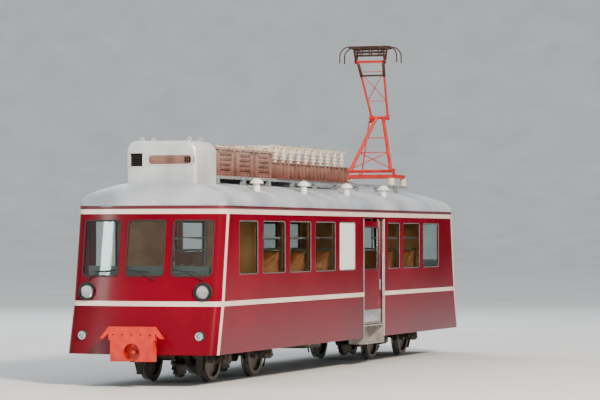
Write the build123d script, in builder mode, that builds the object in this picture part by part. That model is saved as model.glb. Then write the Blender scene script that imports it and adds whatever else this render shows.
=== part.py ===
from build123d import *
import math
import os

# Metre gauge electric rack railcar with a cab at each end, in millimetres
# The origin is under the middle of the car, on the surface that the wheel flanges stand on
# The length runs along Y, the front cab faces -Y and the right side is +X

os.makedirs("parts", exist_ok=True)

# Clearances: between a shaft and its bore, between fitted pieces, between moving pieces
running_gap = 0.3
fit_gap = 0.3
moving_gap = 6

# Wheels and axles
gauge = 1000
flange_height = 28
flange_thickness = 32
rail_top = flange_height
wheel_radius = 395
tyre_width = 130
rim_thickness = 70
web_thickness = 26
hub_radius = 105
hub_length = 170
axle_radius = 70
journal_radius = 55
axle_z = rail_top + wheel_radius

# Rack pinion in the middle of each axle
pinion_teeth = 20
pinion_root = 300
pinion_tip = 350
pinion_width = 80
pinion_hub = 130
pinion_hub_length = 140

# Body shell, its heights above the rail
body_length = 14000
body_width = 2600
half_length = body_length / 2
half_width = body_width / 2
wall = 50
wall_inner_x = half_width - wall
skirt_z = rail_top + 500
waist_z = rail_top + 1320
window_low_z = rail_top + 1780
window_high_z = rail_top + 2680
windscreen_high_z = rail_top + 2660
cantrail_z = rail_top + 2860
cantrail_depth = 110
wall_top_z = cantrail_z - cantrail_depth
window_corner = 60
glass = 10
glass_inset = 12

# Raked cab ends
nose_depth = 560
nose_bow = 150
nose_corner = 180
nose_wall = 40
waist_reach = 250
skirt_reach = 475
nose_join = half_length - nose_depth

# Roof
crown_rise = 490
roof_shoulder = 300
roof_sheet = 40
dome_depth = 900
dome_shoulder = 280
dome_lift = 4
dome_join = half_length - dome_depth
crown_z = cantrail_z + crown_rise

# Raised cream lines
line_height = 80
line_proud = 8
line_edge = 40
cantrail_line_z = cantrail_z - line_edge
corner_line_width = 75

# Underframe and floor, stacked up over the wheels
wheel_head_room = 22
sole_depth = 150
sole_x = 450
sole_width = 120
sole_web = 14
floor_thickness = 60
sole_low_z = axle_z + wheel_radius + flange_height + wheel_head_room
floor_low_z = sole_low_z + sole_depth
floor_top_z = floor_low_z + floor_thickness
bearer_width = 100
bearer_half = wall_inner_x - 60
headstock_thickness = 90
headstock_y = half_length - 670
draft_half_width = 150
draft_low_z = rail_top + 640
draft_high_z = rail_top + 920
draft_front = half_length + skirt_reach + 65

# Bogies, their heights hung from the sole bars
bogie_pivot = half_length - 2500
wheelbase = 2100
frame_beam_x = gauge / 2 + 280
frame_beam_width = 110
frame_overhang = 480
frame_end = wheelbase / 2 + frame_overhang
centre_plate_thickness = 68
centre_plate_radius = 180
centre_pin_radius = 60
frame_depth = 122
frame_belly_depth = 242
bolster_top_z = sole_low_z - centre_plate_thickness
frame_top_z = bolster_top_z - 60
frame_arch_z = frame_top_z - frame_depth
frame_belly_z = frame_top_z - frame_belly_depth
transom_low_z = frame_top_z - frame_depth + 2
centre_pin_low_z = transom_low_z - 52
bolster_half = 230
end_transom_depth = 60
guard_thickness = 24
guard_width = 110
guard_rail_gap = 110
axlebox_width = 260
axlebox_height = 210
axlebox_depth = 150
journal_end = frame_beam_x + 100
spring_radius = 48
spring_offset = 165
motor_radius = 185
motor_pinion_gap = 35
motor_y = wheelbase / 2 - pinion_tip - motor_radius - motor_pinion_gap
motor_length = gauge - 360
motor_lug = 120
gearcase_x = 195
gearcase_width = 90

# Side windows and doorways, measured along the side from the front end of the cantrail in ten equal bays
side_bay = body_length / 10
window_post = 240
window_width = side_bay - window_post
cab_window_start = 800
saloon_start = side_bay + 570
white_start = saloon_start + 3 * side_bay
door_width = 1300
door_start = saloon_start + 4 * side_bay + 80
door_end = door_start + door_width
short_window_start = door_end + 250
rear_start = short_window_start + side_bay - 360
cab_window = (cab_window_start, saloon_start - window_post)
saloon_windows = (
    (saloon_start, saloon_start + window_width),
    (saloon_start + side_bay, saloon_start + side_bay + window_width),
    (saloon_start + 2 * side_bay, saloon_start + 2 * side_bay + window_width),
)
white_window = (white_start, white_start + side_bay - 440)
rear_windows = (
    (short_window_start, rear_start - window_post),
    (rear_start, rear_start + window_width),
    (rear_start + side_bay, rear_start + side_bay + window_width),
)

# Doors, their steps and their wells
door_low_z = rail_top + 760
door_high_z = wall_top_z - 60
door_thickness = 40
door_overlap = 20
door_travel = door_end - door_start - 2 * door_overlap
door_window_margin = 190
door_window_high_z = door_high_z - door_window_margin / 2
leaf_outer_x = wall_inner_x - moving_gap
leaf_inner_x = leaf_outer_x - door_thickness
well_inner_x = half_width - 440
sill_z = door_low_z - door_overlap
step_z = skirt_z - 100
step_inner_x = half_width - 280
tread_thickness = 20
cheek_thickness = 12
cheek_lip = 80

# Windscreens: the middle one, the pillars beside it and the outer ones
centre_screen_width = 630
screen_pillar = 165
screen_corner_post = half_width - 1120
outer_screen_width = half_width - screen_corner_post - screen_pillar - centre_screen_width / 2
outer_screen_x = half_width - screen_corner_post - outer_screen_width / 2
windscreens = (
    (-outer_screen_x, outer_screen_width),
    (0, centre_screen_width),
    (outer_screen_x, outer_screen_width),
)

# Lamps
headlamp_x = half_width - 290
headlamp_z = waist_z + 190
headlamp_radius = 142
headlamp_proud = 60
marker_x = half_width - 280
marker_z = rail_top + 800
marker_radius = 68
marker_proud = 40
lamp_ring = 26

# Couplers: a hood with drooping wings over an arched plate
coupler_front = half_length + skirt_reach + 230
hood_width = 800
hood_high_z = rail_top + 960
hood_low_z = rail_top + 745
hood_wing = 150
hood_wing_drop = 190
hood_thickness = 60
plate_width = 740
plate_low_z = rail_top + 400
plate_thickness = 50
arch_width = 290
arch_high_z = rail_top + 690
hook_slot_width = 90
coupler_pin_radius = 25
jaw_gap = 70
jaw_thickness = 45
jaw_width = 110
back_plate = 30
rib_thickness = 30

# Roof equipment, places along the side from the front end of the cantrail
gear_half_width = 630
gear_foot = 90
fairing_start = 560
fairing_end = 1500
fairing_rise = 640
fairing_corner = 190
fairing_edge = 70
fairing_recess = 260
fairing_skirt = 170
intake_height = 330
intake_width = 220
slot_length = 560
slot_width = 110
resistor_start = 1580
resistor_length = 900
resistor_pitch = 970
resistor_count = 3
resistor_rise = 560
resistor_lid = 30
louvre_depth = 110
louvre_pitch = 84
louvre_count = 4
louvre_length = 560
rail_width = 60
rail_depth = 50
rail_overhang = 240
foot_pitch = 1300
bank_start = 4620
bank_end = 8900
bank_rise = 700
cassette_count = 5
cassette_gap = 40
cassette_rise = 300
bar_x = gear_half_width - 120
bar_depth = 50
shed_count = 3
insulator_radius = 60
insulator_shed = 20

# Ventilators on the roof's slopes, placed in side bays from the front end of the cantrail
vent_places = (1.85, 3.65, 5.45, 7.15)
vent_x = half_width - 340
vent_z = crown_z - 30
vent_radius = 120
vent_cap_rise = 90
vent_duct = 200

# Pantograph: two equal arms, so that the head rises straight up over the base
panto_y = half_length - 1750
panto_pivot_z = crown_z + 400
panto_arm = 1300
panto_angle = 60
panto_frame_half_y = 420
panto_frame_z = panto_pivot_z - 150
panto_frame_tube = 35
lower_tube = 38
lower_base_x = 440
lower_knee_x = 75
knee_radius = 34
knee_half = 200
bracket_thickness = 26
spring_x = 230
knuckle_width = 60
rod_eye = 20
upper_tube = 24
upper_knee_x = 175
upper_head_x = 270
head_shaft_radius = 28
tail_length = 100
tail_width = 48
rod_x = -245
rod_radius = 15
rod_pin_radius = 19
rod_eye_half = 17
rod_base_y = 160
rod_base_drop = 90
head_half_width = 610
head_half_depth = 160
head_drop = 310
head_rail = 30
head_shaft_half = upper_head_x + 62
plate_x = upper_head_x + 30
plate_sheet = 20
horn_bend = 200
strip_height = 26
strip_width = 44
horn_drop = 330

# Boxes and bearers under the floor, placed by shares of the room between the middle and a bogie
box_end = bogie_pivot - frame_end - 420
bearer_pitch = 0.86 * box_end
box_x = half_width - 400
reservoir_radius = 150
reservoir_x = 180

# Seats, partitions and desks, places along the side from the front end of the cantrail
seat_inner_x = 300
seat_outer_x = wall_inner_x - 65
door_seat_room = 400
door_post = 110
front_partition = saloon_start - window_post / 2
rear_partition = rear_start + side_bay - window_post / 2
partition_thickness = 30
partition_inner_x = 350
desk_half_width = half_width - 240
desk_front = half_length - 40


# Turns a place along the side into its Y in the car's frame
def along(position):
    return position - half_length


# Writes one finished piece under its name
def save(part, label):
    part.label = label
    export_step(part, f"parts/{label}.step")


# The front piece turned end for end, or the right piece turned side for side
def mirrored(part, about):
    with BuildPart() as copy:
        mirror(part, about=about)
    return copy.part


# How far the nose stands forward of the end of the cantrail at a height
def reach_at(z):
    if z > waist_z:
        return waist_reach * (cantrail_z - z) / (cantrail_z - waist_z)
    return waist_reach + (skirt_reach - waist_reach) * (waist_z - z) / (waist_z - skirt_z)


# Outline of the nose seen from above at one height, its skin moved inwards by inset
def nose_outline(z, reach, inset, back):
    tip = inset - half_length - reach
    side = half_width - inset
    with BuildSketch(Plane.XY.offset(z)) as outline:
        with BuildLine():
            ThreePointArc((side, tip + nose_bow), (0, tip), (-side, tip + nose_bow))
            Polyline((-side, tip + nose_bow), (-side, -back), (side, -back), (side, tip + nose_bow))
        make_face()
        fillet(outline.vertices().group_by(Axis.Y)[0], radius=nose_corner - inset)
    return outline.sketch


# Front cab end as a solid between two heights
def nose_form(inset, low=skirt_z, high=cantrail_z, back=nose_join):
    heights = [low] + [z for z in (waist_z,) if low < z < high] + [high]
    with BuildPart() as form:
        loft([nose_outline(z, reach_at(z), inset, back) for z in heights], ruled=True)
    return form.part


# Points of a tangent shoulder arc and crown arc over a half width: shoulder middle, meeting, crown middle
def half_arch(width, rise, shoulder):
    crown_radius = ((width - shoulder) ** 2 + rise**2 - shoulder**2) / (2 * (rise - shoulder))
    turn = math.atan2(crown_radius - rise, width - shoulder)
    crown_turn = (turn + math.pi / 2) / 2
    flat = width - shoulder
    shoulder_mid = (flat + shoulder * math.cos(turn / 2), shoulder * math.sin(turn / 2))
    meeting = (flat + shoulder * math.cos(turn), shoulder * math.sin(turn))
    crown_low = rise - crown_radius
    crown_mid = (crown_radius * math.cos(crown_turn), crown_low + crown_radius * math.sin(crown_turn))
    return shoulder_mid, meeting, crown_mid


# Solid under the roof's skin between two places along Y
def roof_prism(inset, start, end):
    width = half_width - inset
    rise = crown_rise - inset
    mid, meeting, _ = half_arch(width, rise, roof_shoulder - inset)
    with BuildPart() as prism:
        with BuildSketch(Plane.XZ.offset(-end)):
            with BuildLine():
                ThreePointArc(
                    (width, cantrail_z),
                    (mid[0], cantrail_z + mid[1]),
                    (meeting[0], cantrail_z + meeting[1]),
                )
                ThreePointArc(
                    (meeting[0], cantrail_z + meeting[1]),
                    (0, cantrail_z + rise),
                    (-meeting[0], cantrail_z + meeting[1]),
                )
                ThreePointArc(
                    (-meeting[0], cantrail_z + meeting[1]),
                    (-mid[0], cantrail_z + mid[1]),
                    (-width, cantrail_z),
                )
                Line((-width, cantrail_z), (width, cantrail_z))
            make_face()
        extrude(amount=end - start)
    return prism.part


# Front roof end as a solid: the arch, turned down along the bowed front and rounded at its corners
def dome_form(inset):
    bow_radius = (half_width**2 + nose_bow**2) / (2 * nose_bow)
    bow_centre = bow_radius - half_length
    depth = dome_depth - inset
    rise = crown_rise + dome_lift - inset
    mid, meeting, crown_mid = half_arch(depth, rise, dome_shoulder - inset)
    arch = roof_prism(inset, -half_length - nose_bow, -dome_join)
    plan = nose_outline(cantrail_z, 0, inset, dome_join)
    with BuildPart() as dome:
        with BuildSketch(Plane.YZ):
            with BuildLine():
                ThreePointArc(
                    (-dome_join - depth, cantrail_z),
                    (-dome_join - mid[0], cantrail_z + mid[1]),
                    (-dome_join - meeting[0], cantrail_z + meeting[1]),
                )
                ThreePointArc(
                    (-dome_join - meeting[0], cantrail_z + meeting[1]),
                    (-dome_join - crown_mid[0], cantrail_z + crown_mid[1]),
                    (-dome_join, cantrail_z + rise),
                )
                Polyline(
                    (-dome_join, cantrail_z + rise),
                    (bow_centre, cantrail_z + rise),
                    (bow_centre, cantrail_z),
                    (-dome_join - depth, cantrail_z),
                )
            make_face()
        revolve(axis=Axis((0, bow_centre, 0), (0, 0, 1)), revolution_arc=360)
        add(arch, mode=Mode.INTERSECT)
        extrude(plan, amount=crown_rise, mode=Mode.INTERSECT)
    return dome.part


# Wheelsets: wheel and pinion profiles turned about the axle
def wheelset(y):
    tread_start = gauge / 2 - flange_thickness
    hub_start = tread_start + (tyre_width - hub_length) / 2
    web_start = tread_start + (tyre_width - web_thickness) / 2
    flange_radius = wheel_radius + flange_height
    rim_radius = wheel_radius - rim_thickness
    tyre_end = tread_start + tyre_width
    with BuildPart() as axle:
        with BuildSketch(Plane.XY.offset(axle_z)):
            with BuildLine():
                Polyline(
                    (0, y),
                    (journal_end, y),
                    (journal_end, y + journal_radius),
                    (tyre_end + flange_thickness, y + journal_radius),
                    (tyre_end + flange_thickness, y + axle_radius),
                    (0, y + axle_radius),
                    close=True,
                )
            make_face()
        revolve(axis=Axis((0, y, axle_z), (1, 0, 0)))
        with BuildSketch(Plane.XY.offset(axle_z)):
            with BuildLine():
                Polyline(
                    (hub_start, y),
                    (hub_start, y + hub_radius),
                    (web_start, y + hub_radius),
                    (web_start, y + rim_radius),
                    (tread_start, y + rim_radius),
                    (tread_start, y + flange_radius),
                    (tread_start + flange_thickness, y + wheel_radius),
                    (tyre_end, y + wheel_radius),
                    (tyre_end, y + rim_radius),
                    (web_start + web_thickness, y + rim_radius),
                    (web_start + web_thickness, y + hub_radius),
                    (hub_start + hub_length, y + hub_radius),
                    (hub_start + hub_length, y),
                    close=True,
                )
            make_face()
        revolve(axis=Axis((0, y, axle_z), (1, 0, 0)))
        mirror(about=Plane.YZ)
        with BuildSketch(Plane.YZ.offset(-pinion_hub_length / 2)):
            with Locations((y, axle_z)):
                Circle(pinion_hub)
        extrude(amount=pinion_hub_length)
        with BuildSketch(Plane.YZ.offset(-pinion_width / 2)):
            with Locations((y, axle_z)):
                add(pinion_face())
        extrude(amount=pinion_width)
    return axle.part


# Toothed outline of the rack pinion
def pinion_face():
    pitch = 2 * math.pi / pinion_teeth
    corners = ((-0.32, pinion_root), (-0.15, pinion_tip), (0.15, pinion_tip), (0.32, pinion_root))
    points = []
    for tooth in range(pinion_teeth):
        for share, radius in corners:
            turn = (tooth + share) * pitch
            points.append((radius * math.cos(turn), radius * math.sin(turn)))
    with BuildSketch() as face:
        with BuildLine():
            Polyline(*points, close=True)
        make_face()
    return face.sketch


axle_places = [side * bogie_pivot + end * wheelbase / 2 for side in (-1, 1) for end in (-1, 1)]
for number, y in enumerate(axle_places, start=1):
    save(wheelset(y), f"wheelset_{number}")


# Bogie frame: two shaped side beams, transoms, a bolster with the centre bore and end beams with rail guards
def bogie_frame(pivot, outer):
    half_base = wheelbase / 2
    with BuildPart() as frame:
        for side in (-1, 1):
            with BuildSketch(Plane.YZ.offset(side * frame_beam_x - frame_beam_width / 2)):
                with BuildLine():
                    Polyline(
                        (pivot - frame_end, frame_top_z),
                        (pivot + frame_end, frame_top_z),
                        (pivot + frame_end, frame_arch_z),
                        (pivot + half_base - axlebox_width, frame_arch_z),
                        (pivot + half_base - axlebox_width * 1.5, frame_belly_z),
                        (pivot - half_base + axlebox_width * 1.5, frame_belly_z),
                        (pivot - half_base + axlebox_width, frame_arch_z),
                        (pivot - frame_end, frame_arch_z),
                        close=True,
                    )
                make_face()
            extrude(amount=frame_beam_width)
        beam_width = 2 * frame_beam_x + frame_beam_width
        with BuildSketch(Plane.XY.offset(transom_low_z)):
            with Locations((0, pivot)):
                Rectangle(beam_width, 2 * bolster_half)
            with Locations((0, pivot - frame_end), (0, pivot + frame_end)):
                Rectangle(beam_width, end_transom_depth)
        extrude(amount=frame_top_z - transom_low_z)
        with BuildSketch(Plane.XY.offset(frame_top_z)):
            with Locations((0, pivot)):
                Circle(centre_plate_radius + 20)
        extrude(amount=bolster_top_z - frame_top_z)
        with BuildSketch(Plane.XY.offset(transom_low_z)):
            with Locations((0, pivot)):
                Circle(centre_pin_radius + running_gap)
        extrude(amount=bolster_top_z - transom_low_z, mode=Mode.SUBTRACT)
        guard_y = pivot + outer * frame_end
        guard_x = gauge / 2 + flange_thickness
        with BuildSketch(Plane.XZ.offset(-guard_y - guard_thickness / 2)):
            with Locations((guard_x, transom_low_z), (-guard_x, transom_low_z)):
                Rectangle(
                    guard_width,
                    transom_low_z - rail_top - guard_rail_gap,
                    align=(Align.CENTER, Align.MAX),
                )
        extrude(amount=guard_thickness)
    return frame.part


# Axleboxes round the journals, each with two coil springs up to the frame
def axleboxes(pivot):
    with BuildPart() as boxes:
        for y in (pivot - wheelbase / 2, pivot + wheelbase / 2):
            for side in (-1, 1):
                with BuildSketch(Plane.YZ.offset(side * frame_beam_x - axlebox_depth / 2)):
                    with Locations((y, axle_z)):
                        RectangleRounded(axlebox_width, axlebox_height, 40)
                    with Locations((y, axle_z - axlebox_height / 4)):
                        Rectangle(2 * spring_offset + 2 * spring_radius, axlebox_height / 4)
                    with Locations((y, axle_z)):
                        Circle(journal_radius + running_gap, mode=Mode.SUBTRACT)
                extrude(amount=axlebox_depth)
                cup_z = axle_z - axlebox_height / 8
                with BuildSketch(Plane.XY.offset(cup_z)):
                    with Locations(
                        (side * frame_beam_x, y - spring_offset), (side * frame_beam_x, y + spring_offset)
                    ):
                        Circle(spring_radius)
                extrude(amount=frame_arch_z - cup_z)
    return boxes.part


# Traction motors across the bogie, each with a gear case reaching round the axle
def motors(pivot):
    with BuildPart() as drive:
        for end in (-1, 1):
            motor_place = pivot + end * motor_y
            axle_place = pivot + end * wheelbase / 2
            with BuildSketch(Plane.YZ.offset(-motor_length / 2)):
                with Locations((motor_place, axle_z)):
                    Circle(motor_radius)
            extrude(amount=motor_length)
            with BuildSketch(Plane.XY.offset(axle_z + motor_radius / 2)):
                with Locations((0, pivot + end * (bolster_half - motor_lug) / 2 + end * motor_y / 2)):
                    Rectangle(2 * motor_lug, motor_y - bolster_half + motor_lug)
            extrude(amount=transom_low_z - axle_z - motor_radius / 2)
            with BuildSketch(Plane.YZ.offset(gearcase_x - gearcase_width / 2)) as case:
                with Locations((motor_place, axle_z)):
                    Circle(motor_radius * 0.8)
                with Locations((axle_place, axle_z)):
                    Circle(motor_radius * 0.9)
                make_hull()
                with Locations((axle_place, axle_z)):
                    Circle(axle_radius + moving_gap, mode=Mode.SUBTRACT)
            extrude(amount=gearcase_width)
    return drive.part


for name, pivot, outer in (("front", -bogie_pivot, -1), ("rear", bogie_pivot, 1)):
    save(bogie_frame(pivot, outer), f"bogie_frame_{name}")
    save(axleboxes(pivot), f"axleboxes_{name}")
    save(motors(pivot), f"motors_{name}")

# Underframe: two channel sole bars joined by bearers, the wide ones over the bogies
with BuildPart() as underframe:
    with BuildSketch(Plane.XZ.offset(-headstock_y)):
        for side in (-1, 1):
            with Locations((side * sole_x, sole_low_z)):
                Rectangle(sole_width, sole_depth, align=(Align.CENTER, Align.MIN))
            with Locations((side * (sole_x - sole_web), sole_low_z + sole_web)):
                Rectangle(
                    sole_width,
                    sole_depth - 2 * sole_web,
                    align=(Align.CENTER, Align.MIN),
                    mode=Mode.SUBTRACT,
                )
    extrude(amount=2 * headstock_y)
    with BuildSketch(Plane.XY.offset(sole_low_z)):
        with GridLocations(0, bearer_pitch, 1, 3):
            Rectangle(2 * bearer_half, bearer_width)
        with Locations((0, -bogie_pivot), (0, bogie_pivot)):
            Rectangle(2 * bearer_half, 2 * centre_plate_radius)
    extrude(amount=sole_depth)
save(underframe.part, "underframe")

# Centre plates and pins that the bogies turn on
with BuildPart() as centre_pins:
    with BuildSketch(Plane.XY.offset(bolster_top_z)):
        with Locations((0, -bogie_pivot), (0, bogie_pivot)):
            Circle(centre_plate_radius)
    extrude(amount=sole_low_z - bolster_top_z)
    with BuildSketch(Plane.XY.offset(centre_pin_low_z)):
        with Locations((0, -bogie_pivot), (0, bogie_pivot)):
            Circle(centre_pin_radius)
    extrude(amount=bolster_top_z - centre_pin_low_z)
save(centre_pins.part, "centre_pins")

# Headstocks across the ends of the sole bars, with the draft boxes that carry the couplers
with BuildPart() as headstocks:
    with BuildSketch(Plane.XY.offset(draft_low_z - 60)):
        with Locations((0, -headstock_y - headstock_thickness / 2)):
            Rectangle(2 * bearer_half, headstock_thickness)
    extrude(amount=floor_low_z - draft_low_z + 60)
    with BuildSketch(Plane.XY.offset(draft_low_z)):
        with Locations((0, -headstock_y - headstock_thickness)):
            Rectangle(
                2 * draft_half_width,
                draft_front - headstock_y - headstock_thickness,
                align=(Align.CENTER, Align.MAX),
            )
    extrude(amount=draft_high_z - draft_low_z)
    mirror(about=Plane.XZ)
save(headstocks.part, "headstocks")

# Couplers: a hood with drooping wings over an arched plate, and a jaw for the coupling pin behind the arch
hood_half = hood_width / 2
hood_back = coupler_front - hood_thickness
jaw_low_z = arch_high_z - jaw_gap - 2 * jaw_thickness
pin_y = coupler_front - plate_thickness - jaw_width / 2
with BuildPart() as coupler:
    with BuildSketch(Plane.XZ.offset(hood_back)):
        with Locations((0, hood_low_z)):
            Rectangle(hood_width, hood_high_z - hood_low_z, align=(Align.CENTER, Align.MIN))
        for side in (-1, 1):
            with BuildLine():
                Polyline(
                    (side * hood_half, hood_high_z),
                    (side * (hood_half + hood_wing), hood_high_z - hood_wing_drop),
                    (side * (hood_half + hood_wing - hood_thickness), hood_high_z - hood_wing_drop),
                    (side * hood_half, hood_high_z - hood_thickness - 40),
                    close=True,
                )
            make_face()
    extrude(amount=hood_thickness)
    with BuildSketch(Plane.XZ.offset(coupler_front - plate_thickness)):
        with Locations((0, plate_low_z)):
            Rectangle(plate_width, hood_low_z - plate_low_z, align=(Align.CENTER, Align.MIN))
            Rectangle(
                hook_slot_width,
                arch_high_z - plate_low_z,
                align=(Align.CENTER, Align.MIN),
                mode=Mode.SUBTRACT,
            )
        with Locations((0, arch_high_z - arch_width / 2)):
            Circle(arch_width / 2, mode=Mode.SUBTRACT)
    extrude(amount=plate_thickness)
    with BuildSketch(Plane.XZ.offset(draft_front)):
        with Locations((0, plate_low_z)):
            Rectangle(plate_width, hood_high_z - plate_low_z, align=(Align.CENTER, Align.MIN))
    extrude(amount=back_plate)
    with BuildSketch(Plane.YZ.offset(-plate_width / 2)):
        with Locations((-draft_front, plate_low_z)):
            Rectangle(hood_back - draft_front, hood_high_z - plate_low_z, align=(Align.MAX, Align.MIN))
    extrude(amount=rib_thickness)
    with BuildSketch(Plane.YZ.offset(plate_width / 2 - rib_thickness)):
        with Locations((-draft_front, plate_low_z)):
            Rectangle(hood_back - draft_front, hood_high_z - plate_low_z, align=(Align.MAX, Align.MIN))
    extrude(amount=rib_thickness)
    for low_z in (jaw_low_z, jaw_low_z + jaw_thickness + jaw_gap):
        with BuildSketch(Plane.XY.offset(low_z)):
            with Locations((0, -draft_front)):
                Rectangle(jaw_width, pin_y - draft_front, align=(Align.CENTER, Align.MAX))
            with Locations((0, -pin_y)):
                Circle(jaw_width / 2)
                Circle(coupler_pin_radius, mode=Mode.SUBTRACT)
        extrude(amount=jaw_thickness)
save(coupler.part, "coupler_front")
save(mirrored(coupler.part, Plane.XZ), "coupler_rear")

# Side walls on the right in front of and behind the doorway, with their windows cut
wall_top_z = cantrail_z - cantrail_depth
wall_table = (
    ("front", half_length - nose_join, door_start, (cab_window, *saloon_windows, white_window)),
    ("rear", door_end, half_length + nose_join, rear_windows),
)
for name, start, end, windows in wall_table:
    with BuildPart() as side:
        with BuildSketch(Plane.YZ.offset(half_width - wall)):
            with Locations((along(start), skirt_z)):
                Rectangle(end - start, wall_top_z - skirt_z, align=(Align.MIN, Align.MIN))
            for window_start, window_end in windows:
                middle = along((window_start + window_end) / 2)
                with Locations((middle, (window_low_z + window_high_z) / 2)):
                    RectangleRounded(
                        window_end - window_start,
                        window_high_z - window_low_z,
                        window_corner,
                        mode=Mode.SUBTRACT,
                    )
        extrude(amount=wall)
    save(side.part, f"side_{name}_right")
    save(mirrored(side.part, Plane.YZ), f"side_{name}_left")


# Panes in the side windows of both walls
def side_panes(windows):
    with BuildPart() as panes:
        with BuildSketch(Plane.YZ.offset(half_width - glass_inset - glass)):
            for window_start, window_end in windows:
                middle = along((window_start + window_end) / 2)
                with Locations((middle, (window_low_z + window_high_z) / 2)):
                    RectangleRounded(
                        window_end - window_start - 2 * fit_gap,
                        window_high_z - window_low_z - 2 * fit_gap,
                        window_corner - fit_gap,
                    )
        extrude(amount=glass)
        mirror(about=Plane.YZ)
    return panes.part


save(side_panes((cab_window, *saloon_windows, *rear_windows)), "side_glass")
save(side_panes((white_window,)), "white_panes")

# Cantrail beams over the windows and doors, carrying the overhead door tracks
leaf_outer_x = half_width - wall - moving_gap
leaf_inner_x = leaf_outer_x - door_thickness
leaf_start = along(door_start) - door_overlap
leaf_end = along(door_end) + door_overlap
pocket_start = leaf_start - door_travel - moving_gap
track_low_z = door_high_z + door_overlap + moving_gap
with BuildPart() as cantrails:
    with BuildSketch(Plane.XY.offset(wall_top_z)):
        with Locations((half_width - wall, 0)):
            Rectangle(wall, 2 * nose_join, align=(Align.MIN, Align.CENTER))
    extrude(amount=cantrail_depth)
    with BuildSketch(Plane.XY.offset(wall_top_z)):
        with Locations((leaf_inner_x, pocket_start)):
            Rectangle(
                half_width - wall - leaf_inner_x,
                leaf_end + moving_gap - pocket_start,
                align=(Align.MIN, Align.MIN),
            )
    extrude(amount=cantrail_depth / 2)
    mirror(about=Plane.YZ)
save(cantrails.part, "cantrails")

# Sliding door leaves with a window, hung from two hangers under the track
door_window_low_z = window_low_z
door_window_high_z = door_high_z - door_window_margin / 2
with BuildPart() as door:
    with BuildSketch(Plane.YZ.offset(leaf_inner_x)):
        with Locations((leaf_start, door_low_z)):
            Rectangle(
                leaf_end - leaf_start,
                door_high_z + door_overlap - door_low_z,
                align=(Align.MIN, Align.MIN),
            )
        with Locations(((leaf_start + leaf_end) / 2, (door_window_low_z + door_window_high_z) / 2)):
            RectangleRounded(
                leaf_end - leaf_start - 2 * door_window_margin,
                door_window_high_z - door_window_low_z,
                window_corner,
                mode=Mode.SUBTRACT,
            )
    extrude(amount=door_thickness)
    with BuildSketch(Plane.XY.offset(door_high_z + door_overlap)):
        with Locations(
            ((leaf_inner_x + leaf_outer_x) / 2, leaf_start + door_window_margin),
            ((leaf_inner_x + leaf_outer_x) / 2, leaf_end - door_window_margin),
        ):
            Rectangle(door_thickness / 2, door_window_margin)
    extrude(amount=wall_top_z - running_gap - door_high_z - door_overlap)
save(door.part, "door_right")
save(mirrored(door.part, Plane.YZ), "door_left")

with BuildPart() as door_glass:
    with BuildSketch(Plane.YZ.offset((leaf_inner_x + leaf_outer_x - glass) / 2)):
        with Locations(((leaf_start + leaf_end) / 2, (door_window_low_z + door_window_high_z) / 2)):
            RectangleRounded(
                leaf_end - leaf_start - 2 * door_window_margin - 2 * fit_gap,
                door_window_high_z - door_window_low_z - 2 * fit_gap,
                window_corner - fit_gap,
            )
    extrude(amount=glass)
save(door_glass.part, "door_glass_right")
save(mirrored(door_glass.part, Plane.YZ), "door_glass_left")

# Floor between the walls and into the noses, cut back for the door pockets and the step wells
with BuildPart() as floor:
    with BuildSketch(Plane.XY.offset(floor_low_z)):
        Rectangle(body_width - 2 * wall, 2 * nose_join)
    extrude(amount=floor_thickness)
    add(nose_form(nose_wall + fit_gap, floor_low_z, floor_top_z, nose_join))
    add(mirrored(nose_form(nose_wall + fit_gap, floor_low_z, floor_top_z, nose_join), Plane.XZ))
    with BuildSketch(Plane.XY.offset(floor_low_z)):
        for side in (-1, 1):
            with Locations((side * half_width, (pocket_start + leaf_end + moving_gap) / 2)):
                Rectangle(
                    2 * (half_width - leaf_inner_x + moving_gap), leaf_end + moving_gap - pocket_start
                )
            with Locations((side * half_width, along((door_start + door_end) / 2))):
                Rectangle(2 * (half_width - well_inner_x), door_end - door_start)
    extrude(amount=floor_thickness, mode=Mode.SUBTRACT)
save(floor.part, "floor")

# Entry steps: a riser down from the floor, the sill under the door and a step box with slanted cheeks
cheek_points = (
    (step_inner_x, sill_z),
    (half_width - wall, sill_z),
    (half_width, step_z + cheek_lip),
    (half_width, step_z - tread_thickness),
    (step_inner_x, step_z - tread_thickness),
)
with BuildPart() as steps:
    with BuildSketch(Plane.XZ.offset(-along(door_end))):
        with BuildLine():
            Polyline(
                (well_inner_x, floor_top_z),
                (well_inner_x + tread_thickness, floor_top_z),
                (well_inner_x + tread_thickness, sill_z),
                (half_width, sill_z),
                (half_width, sill_z - tread_thickness),
                (step_inner_x, sill_z - tread_thickness),
                (step_inner_x, step_z),
                (half_width, step_z),
                (half_width, step_z - tread_thickness),
                (step_inner_x - tread_thickness, step_z - tread_thickness),
                (step_inner_x - tread_thickness, sill_z - tread_thickness),
                (well_inner_x, sill_z - tread_thickness),
                close=True,
            )
        make_face()
    extrude(amount=door_end - door_start)
    with BuildSketch(Plane.XZ.offset(-along(door_end))):
        with BuildLine():
            Polyline(*cheek_points, close=True)
        make_face()
    extrude(amount=cheek_thickness)
    with BuildSketch(Plane.XZ.offset(-along(door_start) - cheek_thickness)):
        with BuildLine():
            Polyline(*cheek_points, close=True)
        make_face()
    extrude(amount=cheek_thickness)
    mirror(about=Plane.YZ)
save(steps.part, "entry_steps")

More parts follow.
